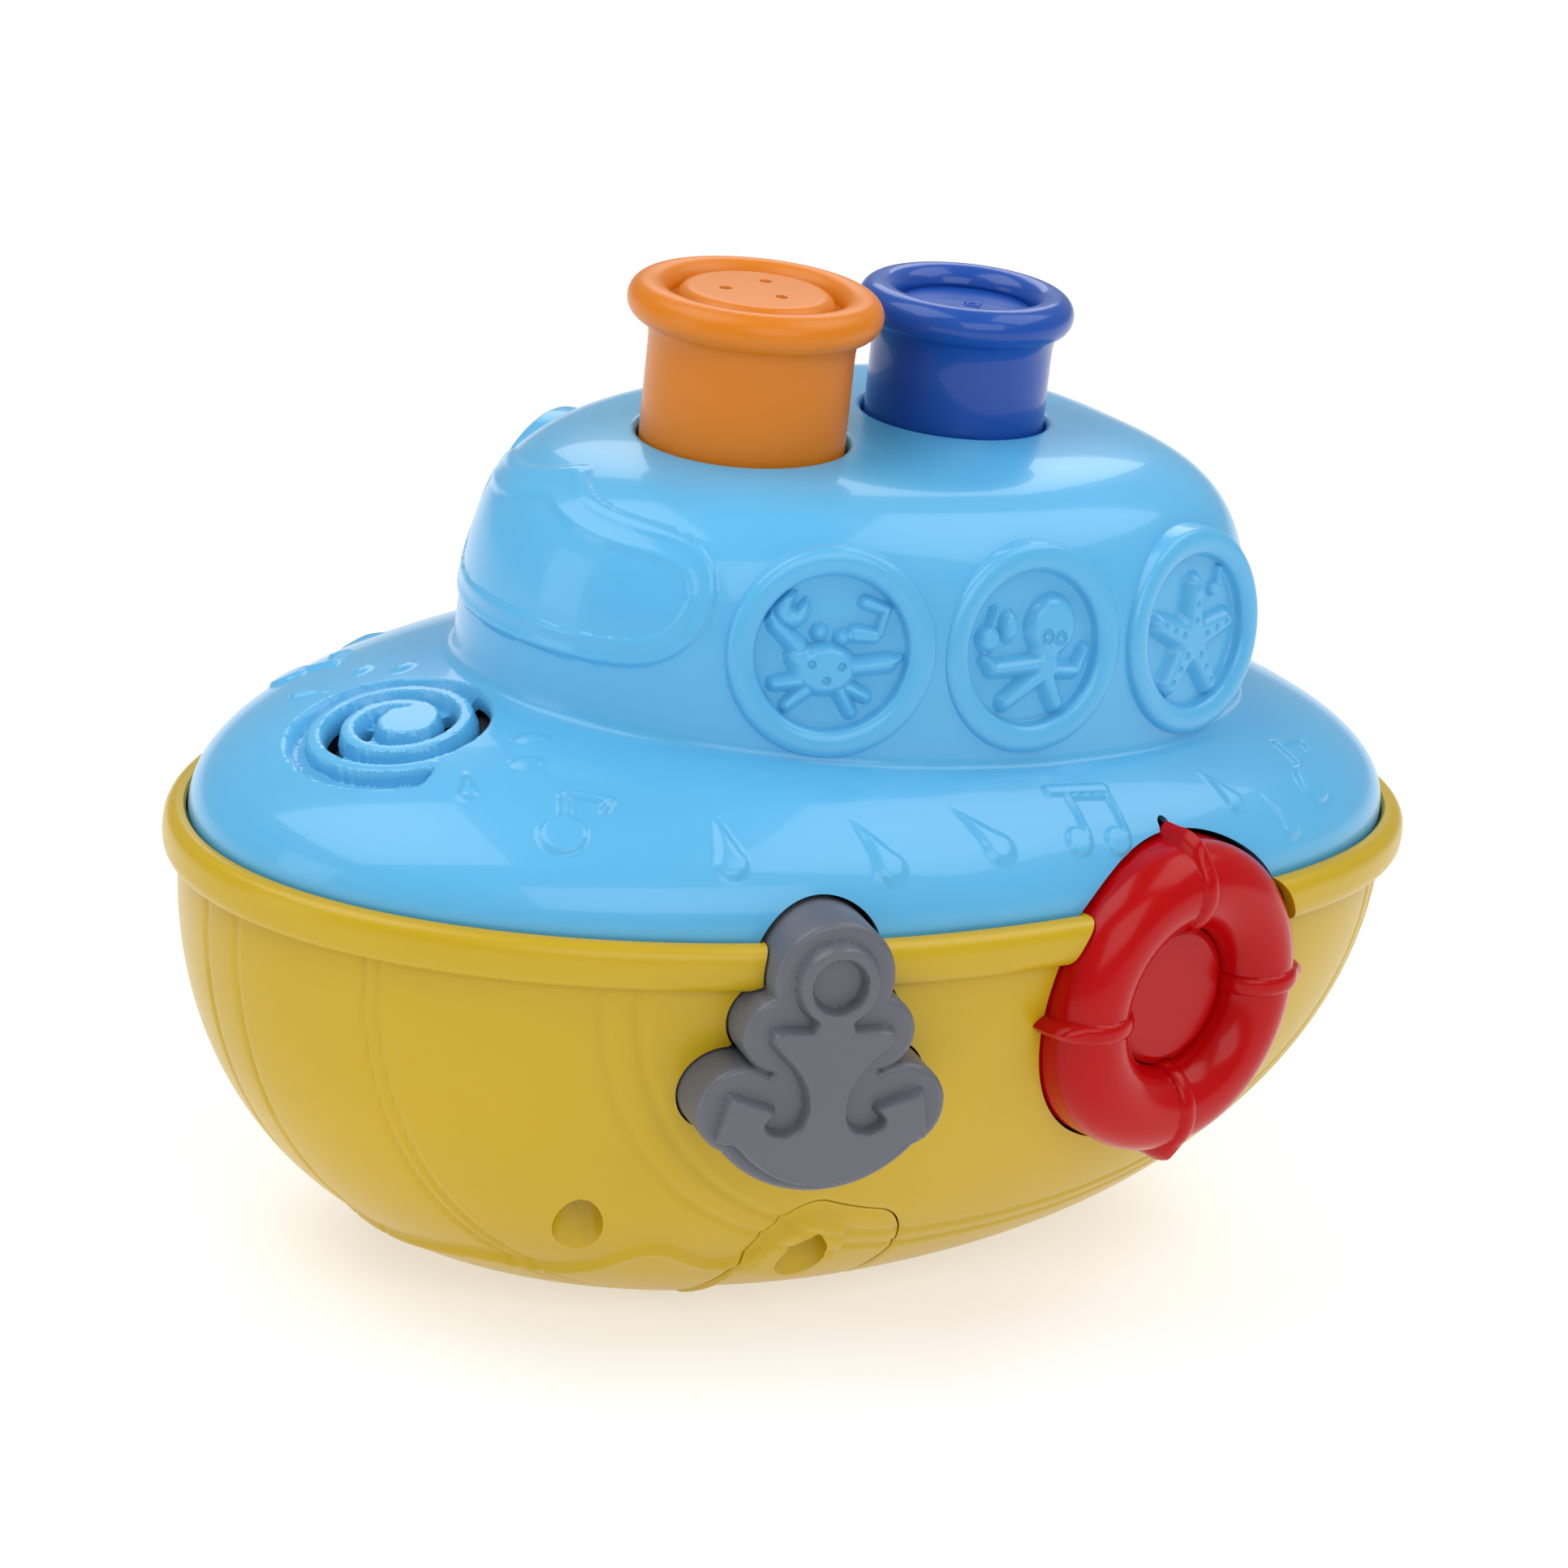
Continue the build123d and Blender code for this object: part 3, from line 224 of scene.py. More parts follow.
def cut(points, faces, value):
    """Keeps the part of a mesh where value > 0, with its border moved onto value = 0."""
    points, value = points.copy(), value.copy()
    edges = np.concatenate([np.stack([f, np.roll(f, -1, 1)], -1).reshape(-1, 2) for f in faces])
    a, b = edges[:, 0], edges[:, 1]
    crossing = value[a] * value[b] < 0
    a, b = a[crossing], b[crossing]
    t = value[a] / (value[a] - value[b])
    mover = np.where(t <= 0.5, a, b)
    target = points[a] + (points[b] - points[a]) * t[:, None]
    order = np.argsort(-np.minimum(t, 1 - t))
    points[mover[order]] = target[order]
    value[mover] = 0
    kept = []
    for f in faces:
        signs = np.sign(value[f])
        mixed = (signs < 0).any(1) & (signs > 0).any(1)
        kept.append(f[(signs >= 0).all(1) & (signs > 0).any(1)])
        if f.shape[1] == 4 and mixed.any():
            m, s = f[mixed], signs[mixed]
            for first in range(4):
                pick = s[:, first] > 0
                corner = m[pick]
                tri = np.stack([corner[:, first - 1], corner[:, first], corner[:, (first + 1) % 4]], 1)
                good = (s[pick][:, first - 1] == 0) & (s[pick][:, (first + 1) % 4] == 0)
                kept.append(tri[good])
    quads = [f for f in kept if f.shape[1] == 4 and len(f)]
    tris = [f for f in kept if f.shape[1] == 3 and len(f)]
    out = []
    if quads:
        out.append(np.concatenate(quads))
    if tris:
        out.append(np.concatenate(tris))
    return points, out, value


def skirt(points, faces, value, offset):
    """Walls hung from the border left by a cut, out to where offset() moves it."""
    edges = np.concatenate([np.stack([f, np.roll(f, -1, 1)], -1).reshape(-1, 2) for f in faces])
    size = len(points)
    code = np.minimum(edges[:, 0], edges[:, 1]) * size + np.maximum(edges[:, 0], edges[:, 1])
    _, index, count = np.unique(code, return_index=True, return_counts=True)
    border = edges[index[count == 1]]
    border = border[(value[border[:, 0]] == 0) & (value[border[:, 1]] == 0)]
    ring = np.unique(border)
    hung = np.full(size, -1)
    hung[ring] = size + np.arange(len(ring))
    a, b = border[:, 0], border[:, 1]
    walls = np.stack([b, a, hung[a], hung[b]], 1)
    return np.concatenate([points, offset(points[ring])]), faces + [walls]


def superellipse(angle, fore, aft, half, fore_power, aft_power):
    c, s = np.cos(angle), np.sin(angle)
    reach = np.where(c >= 0, fore, aft)
    power = np.where(c >= 0, fore_power, aft_power)
    return (np.abs(c / reach) ** power + np.abs(s / half) ** power) ** (-1 / power)


def local_frame(centre, heading, tilt=0.0, side=1):
    """Origin, in-plane axes (the viewer's right, then up) and outward normal of a face."""
    h, t = radians(heading), radians(tilt)
    normal = np.array([cos(t) * cos(h), side * cos(t) * sin(h), sin(t)])
    across = np.array([-sin(h), side * cos(h), 0.0]) * side
    up = np.cross(normal, across)
    return np.array([centre[0], side * centre[1], centre[2]]), across, up, normal


def to_local(points, place):
    origin, across, up, normal = place
    d = points - origin
    return np.stack([d @ across, d @ up, d @ normal], 1)


def from_local(points, place):
    origin, across, up, normal = place
    return origin + points[:, :1] * across + points[:, 1:2] * up + points[:, 2:3] * normal


ANCHOR_PLACE = local_frame(ANCHOR_CENTRE, ANCHOR_HEADING)
RING_PLACE = local_frame(RING_CENTRE, RING_HEADING)


def anchor_block(p):
    """Distance to the outline of the block behind the anchor."""
    lobes = union(
        circle(p, (0, 13.2), 10.4),
        circle(p, (-8.2, 4.0), 6.6),
        circle(p, (8.2, 4.0), 6.6),
        circle(p, (-13.8, -8.8), 7.6),
        circle(p, (13.8, -8.8), 7.6),
    )
    fan = polygon(p, arc((0, -1.31), 22.09, 207.5, 332.5, 24) + [(0, 6)])
    return union(lobes, fan, capsule(p, (0, 8), (0, -6), 9))


def door_edge(p):
    """Distance to the battery door's outline in plan."""
    straight = np.array([DOOR_HALF, DOOR_REACH]) - DOOR_CORNER
    q = np.abs(p[:, :2] - np.array([DOOR_X, 0])) - straight
    outside = np.linalg.norm(np.maximum(q, 0), axis=1)
    return outside + np.minimum(q.max(1), 0) - DOOR_CORNER


# ------------------------------------------------------------------ materials
def plastic(name, colour, roughness, coat=0.0, grain=0.02, specular=0.5):
    """Moulded plastic: faint colour drift, a fine moulded grain and a slow ripple in the gloss."""
    material = bpy.data.materials.new(name)
    material.use_nodes = True
    nodes, links = material.node_tree.nodes, material.node_tree.links
    shader = nodes["Principled BSDF"]
    place = nodes.new("ShaderNodeTexCoord")
    drift = nodes.new("ShaderNodeTexNoise")
    drift.inputs["Scale"].default_value = 22
    drift.inputs["Detail"].default_value = 2
    shades = nodes.new("ShaderNodeValToRGB")
    shades.color_ramp.elements[0].position = 0.25
    shades.color_ramp.elements[1].position = 0.75
    shades.color_ramp.elements[0].color = [c * 0.965 for c in colour] + [1]
    shades.color_ramp.elements[1].color = [min(c * 1.035, 1) for c in colour] + [1]
    links.new(place.outputs["Object"], drift.inputs["Vector"])
    links.new(drift.outputs["Fac"], shades.inputs["Fac"])
    links.new(shades.outputs["Color"], shader.inputs["Base Color"])
    fine = nodes.new("ShaderNodeTexNoise")
    fine.inputs["Scale"].default_value = 900
    fine.inputs["Detail"].default_value = 3
    spread = nodes.new("ShaderNodeMapRange")
    spread.inputs["To Min"].default_value = max(roughness - 0.035, 0.02)
    spread.inputs["To Max"].default_value = roughness + 0.035
    links.new(place.outputs["Object"], fine.inputs["Vector"])
    links.new(fine.outputs["Fac"], spread.inputs["Value"])
    links.new(spread.outputs["Result"], shader.inputs["Roughness"])
    ripple = nodes.new("ShaderNodeTexNoise")
    ripple.inputs["Scale"].default_value = 70
    links.new(place.outputs["Object"], ripple.inputs["Vector"])
    grain_bump = nodes.new("ShaderNodeBump")
    grain_bump.inputs["Strength"].default_value = grain
    grain_bump.inputs["Distance"].default_value = 0.0004
    links.new(fine.outputs["Fac"], grain_bump.inputs["Height"])
    ripple_bump = nodes.new("ShaderNodeBump")
    ripple_bump.inputs["Strength"].default_value = 0.05
    ripple_bump.inputs["Distance"].default_value = 0.0006
    links.new(ripple.outputs["Fac"], ripple_bump.inputs["Height"])
    links.new(grain_bump.outputs["Normal"], ripple_bump.inputs["Normal"])
    links.new(ripple_bump.outputs["Normal"], shader.inputs["Normal"])
    shader.inputs["Coat Weight"].default_value = coat
    shader.inputs["Coat Roughness"].default_value = 0.06
    shader.inputs["Specular IOR Level"].default_value = specular
    return material


def metal(name, colour, roughness, scale=300):
    """Plated or drawn metal with fine streaks."""
    material = bpy.data.materials.new(name)
    material.use_nodes = True
    nodes, links = material.node_tree.nodes, material.node_tree.links
    shader = nodes["Principled BSDF"]
    shader.inputs["Metallic"].default_value = 1.0
    shader.inputs["Base Color"].default_value = (*colour, 1)
    place = nodes.new("ShaderNodeTexCoord")
    streaks = nodes.new("ShaderNodeTexNoise")
    streaks.inputs["Scale"].default_value = scale
    streaks.inputs["Detail"].default_value = 4
    shades = nodes.new("ShaderNodeValToRGB")
    shades.color_ramp.elements[0].color = [c * 0.8 for c in colour] + [1]
    shades.color_ramp.elements[1].color = [min(c * 1.15, 1) for c in colour] + [1]
    spread = nodes.new("ShaderNodeMapRange")
    spread.inputs["To Min"].default_value = roughness * 0.7
    spread.inputs["To Max"].default_value = roughness * 1.4
    links.new(place.outputs["Object"], streaks.inputs["Vector"])
    links.new(streaks.outputs["Fac"], shades.inputs["Fac"])
    links.new(shades.outputs["Color"], shader.inputs["Base Color"])
    links.new(streaks.outputs["Fac"], spread.inputs["Value"])
    links.new(spread.outputs["Result"], shader.inputs["Roughness"])
    return material


YELLOW = plastic("yellow_plastic", (0.54, 0.358, 0.008), 0.30, grain=0.05, specular=0.38)
LIGHT_BLUE = plastic("light_blue_plastic", (0.098, 0.430, 0.735), 0.3, coat=0.36, grain=0.01, specular=0.25)
ORANGE = plastic("orange_plastic", (0.66, 0.190, 0.004), 0.34, grain=0.04, specular=0.35)
DARK_BLUE = plastic("dark_blue_plastic", (0.008, 0.070, 0.37), 0.3, coat=0.4, grain=0.01, specular=0.2)
GREY = plastic("grey_plastic", (0.112, 0.119, 0.143), 0.36, grain=0.05, specular=0.45)
RED = plastic("red_plastic", (0.44, 0.001, 0.002), 0.2, specular=0.2)
BLACK = plastic("black_plastic", (0.02, 0.02, 0.022), 0.5)
WHITE = plastic("white_plastic", (0.7, 0.7, 0.68), 0.45)
BOARD = plastic("circuit_board", (0.02, 0.16, 0.06), 0.35)
CONE = plastic("cone_paper", (0.05, 0.05, 0.05), 0.8, grain=0.3)
WIRE = plastic("wire_cover", (0.45, 0.02, 0.02), 0.4)
STEEL = metal("screw_steel", (0.55, 0.55, 0.56), 0.3)
SPRING = metal("spring_steel", (0.72, 0.72, 0.74), 0.2)
CELL = metal("cell_can", (0.42, 0.42, 0.40), 0.35, 120)

# ------------------------------------------------------------------ hull
COLUMNS = 1200
angles = np.linspace(0, 2 * pi, COLUMNS, endpoint=False)


def bowl_row(z, fullness):
    """One level curve of the bowl."""
    fore = BASE_FORE + (BOW_REACH - BOWL_INSET - BASE_FORE) * fullness
    aft = -BASE_AFT + (STERN_REACH - BOWL_INSET + BASE_AFT) * fullness
    half = BASE_HALF + (HALF_BEAM - BOWL_INSET - BASE_HALF) * fullness
    centre = (BASE_FORE + BASE_AFT) / 2 * (1 - fullness)
    fore_power = 2 + (BOW_POWER - 2) * fullness
    aft_power = 2 + (STERN_POWER - 2) * fullness
    r = superellipse(angles, fore - centre, aft + centre, half, fore_power, aft_power)
    return np.stack([centre + r * np.cos(angles), r * np.sin(angles), np.full(COLUMNS, z)], 1)


def rim_row(z, inset):
    """One level curve of the rim's bead."""
    fore, aft, half = BOW_REACH - inset, STERN_REACH - inset, HALF_BEAM - inset
    r = superellipse(angles, fore, aft, half, BOW_POWER, STERN_POWER)
    return np.stack([r * np.cos(angles), r * np.sin(angles), np.full(COLUMNS, z)], 1)


def bowl_rows():
    """The flat foot from its middle outwards, then the bowl up to the rim."""
    rows = []
    base = bowl_row(0, 0)
    middle = np.array([(BASE_FORE + BASE_AFT) / 2, 0, 0])
    for s in np.linspace(0.02, 1, 44)[:-1]:
        rows.append(middle + (base - middle) * s)
    for k in range(231):
        turn = k / 230 * pi / 2
        rows.append(bowl_row(BOWL_TOP_Z * (1 - cos(turn)), sin(turn)))
    return rows


bowl_points = np.concatenate(bowl_rows())
BOWL_COUNT = len(bowl_points) // COLUMNS
bowl_normals = normals(bowl_points, BOWL_COUNT, COLUMNS)


PLANK_LINES, PLANK_DEPTH, PLANK_WIDTH = (4.6, 28.8, 30.8, 54.6, 57.4), 0.42, 0.45
DOOR_GROOVE_DEPTH, DOOR_GROOVE_WIDTH = 0.35, 0.7


def hull_relief(points):
    """Outward relief of the hull skin: plank lines, and the raised wave along the foot."""
    rising = np.clip((points[:, 2] - 3) / 12, 0, 1)
    height = np.zeros(len(points))
    for y in PLANK_LINES:
        height -= PLANK_DEPTH * np.exp(-(((np.abs(points[:, 1]) - y) / PLANK_WIDTH) ** 2)) * rising
    plan = np.stack([points[:, 0], np.abs(points[:, 1])], 1)
    crests = [(38, 54), (40, 51.4), (43, 48.6), (47, 47.8), (52, 48.4), (57, 47.8), (60.5, 44.4), (62.4, 39)]
    troughs = [(65.6, 34), (70, 30.4), (76.2, 27), (80, 20), (82, 11), (82.6, -8), (38, -8)]
    wave = polygon(plan, rounded(crests + troughs, 2))
    low = (points[:, 2] < 30) & (points[:, 0] > 35)
    foot = np.clip((points[:, 2] - 0.5) / 2.5, 0, 1)
    height += np.where(low, swell(wave, 0.8, 1.5) + ridge(wave + 1.0, 0.35, 1.0), 0) * foot
    return height


hull_height = hull_relief(bowl_points)
edge = door_edge(bowl_points)
low = bowl_points[:, 2] < FOOT_LIMIT_Z
groove = DOOR_GROOVE_DEPTH * np.exp(-((np.abs(edge) / DOOR_GROOVE_WIDTH) ** 2))
hull_height -= np.where(low, groove, 0)
# each door screw's boss tapers forward into the wave, and dies away before the door's edge
within_door = np.clip(-(edge + 0.8) / 1.6, 0, 1)
for side in (1, -1):
    screw, taper = (DOOR_SCREW_X, side * DOOR_SCREW_Y), (41, side * 50.5)
    boss = capsule(bowl_points[:, :2], screw, taper, 7.6, 3.6)
    hull_height += np.where(low, swell(boss, 1.5, 1.3) * within_door, 0)
shaped_bowl = bowl_points + bowl_normals * hull_height[:, None]

# the bead runs on from the bowl's top edge, over, and down inside to the deck's ledge
bead_rows = []
for k in range(29):
    turn = radians(-84 + 174 * k / 28)
    level = np.sign(sin(turn)) * abs(sin(turn)) ** 0.75
    bead_rows.append(rim_row(74.8 + 4.0 * level, 3.3 * (1 - abs(cos(turn)) ** 0.75)))
bead_rows.append(rim_row(78.3, 3.75))
bead_rows.append(rim_row(75.0, 3.8))
bead_rows.append(rim_row(LEDGE_Z, 3.8))
bead_rows.append(rim_row(LEDGE_Z, 6.0))
hull_points = np.concatenate([shaped_bowl] + bead_rows)
HULL_COUNT = len(hull_points) // COLUMNS


def rope_tips():
    """Pointed ends of the rope bands, as tapering lines beyond the ring's edge."""
    for a in ROPE_BANDS:
        way = np.array([cos(radians(a)), sin(radians(a))])
        yield way * RING_OUTER_R, way * (RING_OUTER_R + 1.7), 1.2, 0.3


def ring_block(p):
    """Distance to the outline of the life ring with its rope ends."""
    return union(circle(p, (0, 0), RING_OUTER_R), *[capsule(p, *tip) for tip in rope_tips()])


def passage_value(points, grow):
    """Positive clear of both button passages."""
    value = clear_of(points)
    for place, outline in ((ANCHOR_PLACE, anchor_block), (RING_PLACE, ring_block)):
        local = to_local(points, place)
        beside = np.abs(local[:, 2] + 5) < 25
        value = np.minimum(value, np.where(beside, outline(local[:, :2]) - grow, FAR))
    return value


def inward(points, depth):
    """Points moved along whichever button's passage they border."""
    to_anchor = np.linalg.norm(points - ANCHOR_PLACE[0], axis=1)
    to_ring = np.linalg.norm(points - RING_PLACE[0], axis=1)
    along = np.where((to_anchor < to_ring)[:, None], ANCHOR_PLACE[3], RING_PLACE[3])
    return points - along * depth


def turned_in(points):
    """Points moved up and towards the keel, for the walls along the door's edge."""
    return points * [1, 0.97, 1] + [0, 0, 2.0]


def bored(points, faces, spots, seat_z, top_z):
    """A skin with a straight screw recess up to seat_z at each spot."""
    recess = clear_of(points)
    for spot in spots:
        below = np.where(points[:, 2] < top_z, circle(points[:, :2], spot, RECESS_R), FAR)
        recess = np.minimum(recess, below)
    points, faces, value = cut(points, faces, recess)
    return skirt(points, faces, value, lambda q: np.column_stack([q[:, :2], np.full(len(q), seat_z)]))


hull_faces = [ring_quads(HULL_COUNT, COLUMNS)]
p, f, v = cut(hull_points, hull_faces, passage_value(hull_points, HULL_GAP))
p, f = skirt(p, f, v, lambda q: inward(q, WALL))
p, f, v = cut(p, f, np.where(p[:, 2] < FOOT_LIMIT_Z, door_edge(p) - DOOR_GAP, FAR))
p, f = skirt(p, f, v, turned_in)
p, f = bored(p, f, SCREW_SPOTS, SCREW_SEAT_Z, 55)
hull = make("hull_shell", p, f, YELLOW, "boat")
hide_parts("hull")

# the door is the same skin, cut the other way
near = (np.abs(bowl_points[:, 0] - DOOR_X) < 20) & low
quads = ring_quads(BOWL_COUNT, COLUMNS)
quads = quads[near[quads].all(1)]
p, f, v = cut(shaped_bowl, [quads], -door_edge(shaped_bowl))
p, f = skirt(p, f, v, turned_in)
door_screws = [(DOOR_SCREW_X, side * DOOR_SCREW_Y) for side in (1, -1)]
p, f = bored(p, f, door_screws, DOOR_SCREW_SEAT_Z, DOME_Z)
door = make("battery_door_skin", p, f, YELLOW, "boat")
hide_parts("battery_door")

# ------------------------------------------------------------------ deck and cabin, one moulding
DECK_COLUMNS = 1400
CABIN_ROWS, DOME_ROWS = 215, 125
turns = np.linspace(0, 2 * pi, DECK_COLUMNS, endpoint=False)
cabin_reach = superellipse(turns, CABIN_FORE, CABIN_AFT, CABIN_HALF, 2.0, 2.7)


def dome_size(x, y):
    """1 at the deck's edge, 0 over its middle."""
    power = np.where(x >= 0, BOW_POWER, STERN_POWER)
    reach = np.where(x >= 0, BOW_REACH, STERN_REACH) - DECK_INSET
    return (np.abs(x / reach) ** power + np.abs(y / (HALF_BEAM - DECK_INSET)) ** power) ** (1 / power)


def dome_z(x, y):
    """Height of the deck's dome."""
    return DOME_Z + DOME_HEIGHT * (1 - np.minimum(dome_size(x, y), 1) ** DOME_POWER) ** (1 / DOME_POWER)


def deck_meridian(turn, reach):
    """Points down the cabin's profile from the roof's middle, and out along the dome to its edge."""
    power = 5.0 + 1.0 * max(cos(turn), 0) ** 2
    phi = np.concatenate([np.linspace(pi / 2, 1.2, 60)[:-1], np.linspace(1.2, 0, 300)])
    size = np.cos(phi).clip(0) ** (2 / power)
    level = np.sin(phi) ** (2 / power)
    rho, z = reach * size, CABIN_Z + CABIN_HEIGHT * level
    below = dome_z(CABIN_X + rho * cos(turn), rho * sin(turn)) - z
    crease = np.argmax(below > 0)
    t = below[crease - 1] / (below[crease - 1] - below[crease])
    rho = np.append(rho[:crease], rho[crease - 1] + t * (rho[crease] - rho[crease - 1]))
    z = np.append(z[:crease], z[crease - 1] + t * (z[crease] - z[crease - 1]))
    run = np.concatenate([[0], np.cumsum(np.hypot(np.diff(rho), np.diff(z)))])
    steps = np.linspace(0, run[-1], CABIN_ROWS)
    rho, z = np.interp(steps, run, rho), np.interp(steps, run, z)
    low, high = rho[-1], rho[-1] + 130.0
    for _ in range(40):
        middle = (low + high) / 2
        if dome_size(np.float64(CABIN_X + middle * cos(turn)), np.float64(middle * sin(turn))) < 1:
            low = middle
        else:
            high = middle
    across = np.linspace(0, pi / 2, 400)
    out = rho[-1] + (low - rho[-1]) * np.sin(across)
    down = dome_z(CABIN_X + out * cos(turn), out * sin(turn))
    run = np.concatenate([[0], np.cumsum(np.hypot(np.diff(out), np.diff(down)))])
    steps = np.linspace(0, run[-1], DOME_ROWS + 1)[1:]
    rho = np.append(rho, np.interp(steps, run, out))
    z = np.append(z, np.interp(steps, run, down))
    return rho, z


profiles = np.array([deck_meridian(turn, reach) for turn, reach in zip(turns, cabin_reach)])
rho, height = profiles[:, 0].T, profiles[:, 1].T
# a soft fillet where the cabin meets the dome
first, last = CABIN_ROWS - 8, CABIN_ROWS + 7
for _ in range(24):
    for field in (rho, height):
        smooth = (field[first - 1 : last - 1] + field[first + 1 : last + 1]) / 2
        field[first:last] = 0.5 * field[first:last] + 0.5 * smooth
deck_points = np.stack([CABIN_X + rho * np.cos(turns), rho * np.sin(turns), height], -1).reshape(-1, 3)
# the short upright skirt below the dome's edge, down to the ledge
skirt_rows = []
edge_row = deck_points[-DECK_COLUMNS:]
for depth in (1.0, 2.5, DOME_Z - LEDGE_Z - 0.1):
    skirt_rows.append(edge_row - [0, 0, depth])
deck_points = np.concatenate([deck_points] + skirt_rows)
DECK_COUNT = len(deck_points) // DECK_COLUMNS
deck_normals = normals(deck_points, DECK_COUNT, DECK_COLUMNS)
deck_normals *= np.sign((deck_normals * (deck_points - [CABIN_X, 0, 60])).sum(1))[:, None]
deck_height = np.zeros(len(deck_points))


def deck_mark(centre, turn, size, draw, side):
    """Adds one relief to the deck, drawn flat in the plane that touches it at centre."""
    middle = np.array([centre[0], side * centre[1], centre[2]], float)
    close = np.linalg.norm(deck_points - middle, axis=1) < size
    nearest = np.argmin(np.linalg.norm(deck_points - middle, axis=1))
    normal = deck_normals[nearest]
    across = np.cross([0, 0, 1], normal)
    across /= np.linalg.norm(across)
    up = np.cross(normal, across)
    d = deck_points[close] - deck_points[nearest]
    x, y = d @ across * side, d @ up
    a = radians(turn)
    flat = np.stack([x * cos(a) + y * sin(a), -x * sin(a) + y * cos(a)], 1)
    deck_height[close] += draw(flat)


def drop(scale):
    """Water drop, its tail upwards."""

    def draw(p):
        tail = capsule(p, (0, 0.6 * scale), (0, 8.0 * scale), 2.3 * scale, 0.3)
        return swell(union(circle(p, (0, 0), 2.6 * scale), tail), 0.75, 1.5 * scale)

    return draw


def flat_drop(p):
    """Water drop lying along the deck."""
    return swell(ellipse(p, (0, 0), 3.6, 2.0), 0.6, 1.3)


def quaver(p):
    head = circle(p, (-1.5, -2.4), 4.3)
    stem = capsule(p, (-1.2, 1.0), (-1.2, 6.6), 1.1)
    flag = union(capsule(p, (-1.2, 6.6), (6.0, 5.4), 1.3), capsule(p, (6.0, 5.4), (5.2, 2.8), 1.2, 0.9))
    return swell(union(head, stem, flag), 0.7, 1.0)


def beamed_note(p):
    heads = union(circle(p, (-5.4, -4.6), 2.9), circle(p, (2.6, -5.6), 2.9))
    stems = union(capsule(p, (-3.2, -4.0), (-3.2, 4.0), 1.0), capsule(p, (4.8, -5.0), (4.8, 3.6), 1.0))
    beam = union(capsule(p, (-6.2, 5.6), (4.6, 4.4), 1.5), capsule(p, (-3.2, 3.8), (4.8, 2.8), 1.0))
    return swell(union(heads, stems, beam), 0.7, 1.0)


# from the bow aft: centre, turn in degrees, reach and drawing of each mark
DECK_MARKS = [
    ((88, 26, 95), 25, 9, drop(0.75)),
    ((71.7, 19.3, 100.5), 30, 7, flat_drop),
    ((76.2, 25.1, 98.5), 20, 7, flat_drop),
    ((77.1, 40.2, 93.7), 5, 14, quaver),
    ((56.8, 56.6, 89.5), 10, 16, drop(1.35)),
    ((30.7, 65.0, 88.5), 25, 16, drop(1.35)),
    ((9.5, 66.2, 89.5), 35, 16, drop(1.35)),
    ((-12, 63.9, 92.5), 0, 15, beamed_note),
    ((-43.4, 64.4, 91.4), 25, 11, drop(1.0)),
    ((-55.4, 66.6, 86.0), 25, 11, drop(0.95)),
    ((-66, 56.9, 92.5), 0, 14, quaver),
]
for side in (1, -1):
    for mark in DECK_MARKS:
        deck_mark(*mark, side)

# windshield: one wide pane round the cabin's front in a raised double-edged band, peaked at the middle
front = (deck_points[:, 0] > 30) & (deck_points[:, 2] > 104) & (deck_points[:, 2] < 143)
q = deck_points[front]
bearing = np.arctan2(q[:, 1], q[:, 0] - CABIN_X)
plan = np.stack([CABIN_X + cabin_reach * np.cos(turns), cabin_reach * np.sin(turns)], 1)
plan_run = np.concatenate([[0], np.cumsum(np.hypot(*np.diff(plan, axis=0).T))])
round_run = np.interp(np.abs(bearing), turns, plan_run)
flat = np.stack([round_run, q[:, 2]], 1)
foot = [(-20, 112.8), (14, 112.8), (26, 113.2), (31.8, 114.6)]
round_end = [(36.8, 118.0), (39.4, 123.4), (39.6, 128.4), (37.4, 132.6), (32.6, 135.2), (25, 136.2)]
window = rounded(foot + round_end + [(14, 136.8), (5, 138.8), (0, 140.4), (-20, 140.4)], 2)
frame_edge = polygon(flat, window)
band = ridge(frame_edge + 1.0, 0.6, 1.0) + ridge(frame_edge + 3.8, 0.5, 0.9)
band = np.maximum(band, np.where((frame_edge < -1.0) & (frame_edge > -3.8), 0.36, 0))
deck_height[front] += band

# speaker grille: a ridge that unwinds from a round knob, with slots between its turns
grille_normal = np.array([sin(radians(GRILLE_TILT)), 0, cos(radians(GRILLE_TILT))])
grille_place = (
    np.array([GRILLE_X, 0, GRILLE_Z]),
    np.array([cos(radians(GRILLE_TILT)), 0, -sin(radians(GRILLE_TILT))]),
    np.array([0.0, 1.0, 0.0]),
    grille_normal,
)


def spiral(start, finish, first, last, count):
    """Points of a spiral whose radius grows evenly with its angle, in degrees."""
    a = np.linspace(start, finish, count)
    r = first + (last - first) * (a - start) / (finish - start)
    return np.stack([r * np.cos(np.radians(a)), r * np.sin(np.radians(a))], 1)


GRILLE_START, GRILLE_END = -240, 435
GRILLE_FIRST_R, GRILLE_LAST_R = 5.1, 15.9
COIL_HALF_WIDTH, COIL_LIFT = 1.8, 0.25
KNOB, KNOB_R = np.array([-1.25, 0.95]), 5.75
PAN_DEPTH, PAN_WALL = 2.3, 1.2
SLOTS, SLOT_HALF_WIDTH = ((-250, -190), (-405, -385), (-75, -5), (105, 180)), 1.05
PITCH = 360 * (GRILLE_LAST_R - GRILLE_FIRST_R) / (GRILLE_END - GRILLE_START)


def grille_radius(angle):
    """Radius of the coil's centre line."""
    return GRILLE_FIRST_R + PITCH * (angle - GRILLE_START) / 360


